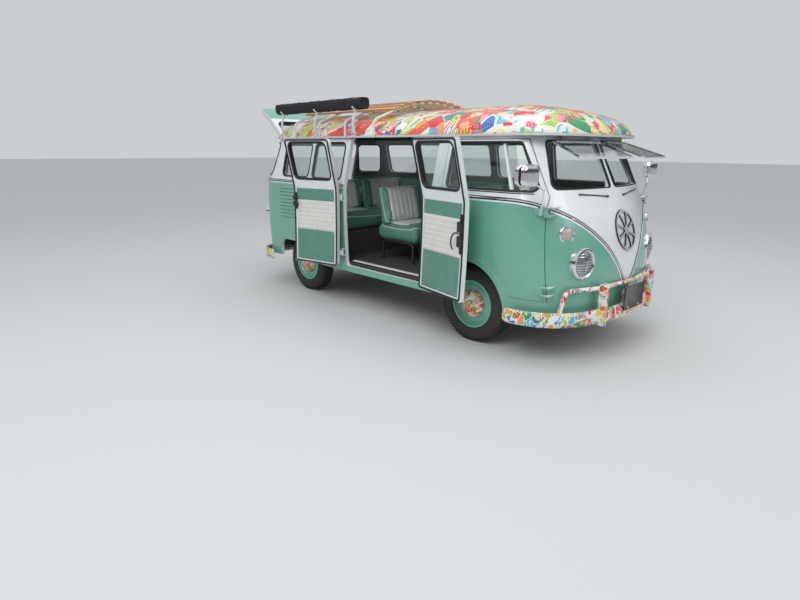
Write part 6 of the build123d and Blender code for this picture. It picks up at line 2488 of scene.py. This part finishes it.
@dataclass
class Cabin:
    """Dash, steering wheel, pedals, levers and floor covering."""

    gauge: Point3 = (0.498, 0.370, 1.168)
    gauge_r: float = 0.047
    hub: Point3 = (0.270, 0.370, 1.105)
    column_foot: Point3 = (0.560, 0.370, 0.525)
    floor_z: float = 0.512

    def build(self) -> None:
        """Dress the inside."""
        dress("floor", FLOOR_MAT)
        dress("dashboard", DASH_PAINT)
        axis = (Vector(self.hub) - Vector(self.column_foot)).normalized()
        dress("steering_wheel", HubAndRim("steering_wheel_finish", tuple(at(*self.hub)), tuple(axis)))
        self._gauge()
        self._controls()

    def _gauge(self) -> None:
        """A round instrument with a bright ring, a black face and a needle, and knobs beside it."""
        work = Meshwork("instrument")
        r = self.gauge_r
        work.lathe(at(*self.gauge), -X_AXIS,
                   ((0.0, 0.002), (r - 0.006, 0.002), (r - 0.004, 0.007), (r, 0.008), (r + 0.004, 0.004),
                    (r + 0.004, -0.004)), (PLATE_FACE, CHROME, CHROME, CHROME, CHROME), 48)
        for i in range(13):
            turn = math.radians(-120.0 + 20.0 * i)
            out = Vector((0.0, math.sin(turn), math.cos(turn)))
            centre = at(*self.gauge) + Vector((-0.0028, 0.0, 0.0)) + out * (r - 0.012)
            side = Vector((0.0, out.z, -out.y)) * 0.0008
            work.add([centre + side, centre - side, centre - side + out * 0.006, centre + side + out * 0.006],
                     [(0, 1, 2, 3)], WHITE_ENAMEL)
        for y in (0.20, 0.13, 0.06):
            work.lathe(at(0.500, y, 1.165), -X_AXIS,
                       ((0.0, 0.022), (0.009, 0.021), (0.011, 0.014), (0.006, 0.010), (0.006, 0.0)),
                       CREAM, 24)
        work.build("body")

    def _controls(self) -> None:
        """Gear lever, hand brake and pedals, none of which moves."""
        work = Meshwork("cab_controls")
        lever = [at(*p) for p in ((0.300, 0.0, self.floor_z), (0.295, 0.0, 0.62), (0.270, 0.004, 0.80),
                                  (0.215, 0.010, 0.935), (0.205, 0.012, 0.955))]
        work.tube(smooth_path(lever, 6), 0.007, BLACK_STEEL, 10)
        work.lathe(lever[-1], Vector((-0.3, 0.0, 1.0)), ((0.0, 0.032), (0.012, 0.028), (0.017, 0.015),
                                                         (0.012, 0.002), (0.0, -0.002)), CREAM, 24)
        work.lathe(lever[0], Z_AXIS,
                   ((0.0, 0.05), (0.012, 0.048), (0.022, 0.020), (0.040, 0.004), (0.042, 0.0)),
                   BLACK_RUBBER, 24)
        brake = [at(x, 0.130, z) for x, z in
                 ((0.440, self.floor_z), (0.435, 0.60), (0.395, 0.72), (0.340, 0.80))]
        work.tube(smooth_path(brake, 6), 0.008, BLACK_STEEL, 10)
        work.tube([brake[-1], brake[-1] + Vector((-0.055, 0.0, 0.055))], 0.012, BLACK_RUBBER, 12)
        for y, wide in ((0.480, 0.030), (0.300, 0.030), (0.215, 0.022)):
            foot, pad = at(0.640, y, self.floor_z), at(0.600, y, 0.640)
            work.tube([foot, pad], 0.006, BLACK_STEEL, 8)
            turn = Matrix.Translation(pad) @ Matrix.Rotation(math.radians(-35), 4, "Y")
            work.block(Vector((-0.006, -wide, -0.032)), Vector((0.008, wide, 0.032)), BLACK_RUBBER, turn)
        work.build("body", bevel=0.001)


def dress_underside() -> None:
    """Black paint on what hangs below."""
    for node in ("chassis_frame", "front_axle", "rear_axle", "engine", "knuckle_left", "knuckle_right"):
        dress(node, BLACK_STEEL)


# Studio

@dataclass
class Studio:
    """Pale floor, soft light and the camera of the photograph."""

    eye: Point3 = (2.7795, -4.2352, 1.5750)
    yaw: float = 136.26
    pitch: float = 15.444
    roll: float = 0.43
    focal_px: float = 547.2
    image_width_px: float = 800.0
    sensor_mm: float = 36.0
    aim: Point3 = (-1.0, 0.0, 0.9)
    floor_half: float = 80.0
    lamps: tuple[tuple[str, Point3, float, float], ...] = (      # name, place, width and power
        ("key", (1.5, -6.0, 6.5), 5.0, 220.0), ("fill", (6.0, 1.0, 4.5), 4.0, 60.0),
        ("top", (-1.0, 0.0, 7.0), 6.0, 120.0),
    )

    def build(self) -> None:
        """Floor, world, lamps and camera."""
        self._floor()
        self._world()
        self._lamps()
        self._camera()

    def _floor(self) -> None:
        """A wide pale floor."""
        size = self.floor_half
        mesh = bpy.data.meshes.new("floor_plane")
        mesh.from_pydata([(-size, -size, 0), (size, -size, 0), (size, size, 0), (-size, size, 0)], [],
                         [(0, 1, 2, 3)])
        mesh.materials.append(PlainGround("plain_ground").material())
        linked("studio_floor", mesh)

    def _world(self) -> None:
        """An even sky, a little brighter overhead, with a darker band that only shines reflect."""
        world = bpy.data.worlds.new("studio_sky")
        world.use_nodes = True
        world.node_tree.nodes.clear()
        graph = Graph(world.node_tree)
        _x, _y, z = graph.axes(graph.node("ShaderNodeTexCoord", output="Generated"))
        sky = graph.mix(z.rise(-0.1, 0.9), (0.62, 0.64, 0.66), (0.98, 0.99, 1.0))
        rays = graph.node("ShaderNodeLightPath", output="Is Camera Ray")
        shown = rays.maths("MAXIMUM", rays.pick("Is Transmission Ray"))
        low_band = z.rise(-0.06, 0.0) * z.rise(0.34, 0.16) * rays.pick("Is Glossy Ray")
        colour = graph.mix(low_band, sky, (0.10, 0.11, 0.10))
        colour = graph.mix(shown, colour, (0.80, 0.82, 0.84))
        background = graph.node("ShaderNodeBackground", inputs={"Color": colour, "Strength": 0.75})
        graph.node("ShaderNodeOutputWorld", inputs={"Surface": background})
        bpy.context.scene.world = world

    def _lamps(self) -> None:
        """A broad soft lamp high on the camera's left, a weaker one to the right and one overhead."""
        for name, place, size, power in self.lamps:
            light = bpy.data.lights.new(name, "AREA")
            light.shape = "DISK"
            light.size = size
            light.energy = power
            lamp = linked(name, light)
            lamp.location = at(*place)
            lamp.rotation_euler = (at(*self.aim) - lamp.location).to_track_quat("-Z", "Y").to_euler()

    def _camera(self) -> None:
        """The photograph's place, direction and lens."""
        yaw, pitch, roll = (math.radians(a) for a in (self.yaw, self.pitch, self.roll))
        ahead = Vector((math.cos(pitch) * math.cos(yaw), math.cos(pitch) * math.sin(yaw), -math.sin(pitch)))
        right = Vector((math.sin(yaw), -math.cos(yaw), 0.0))
        up = right.cross(ahead)
        right, up = (right * math.cos(roll) + up * math.sin(roll),
                     up * math.cos(roll) - right * math.sin(roll))
        data = bpy.data.cameras.new("photo_camera")
        data.sensor_width = self.sensor_mm
        data.lens = self.focal_px / self.image_width_px * self.sensor_mm
        data.clip_end = 300.0
        camera = linked("photo_camera", data)
        turn = Matrix((right, up, -ahead)).transposed().to_4x4()
        camera.matrix_world = Matrix.Translation(at(*self.eye)) @ turn
        bpy.context.scene.camera = camera
        bpy.context.scene.view_settings.view_transform = "Standard"


def main() -> None:
    """Build every sub-assembly in order."""
    logging.basicConfig(level=logging.INFO, format="%(message)s")
    Studio().build()
    Coachwork().build()
    for front in (True, False):
        Leaf(front).build()
    Gate().build()
    for end in ("front", "rear"):
        for side in Side:
            Wheel(end, side).build()
    Front().build()
    RoofLoad().build()
    Cabin().build()
    Upholstery().build()
    dress_underside()
    LOG.info("sizes written")


if __name__ == "__main__":
    main()
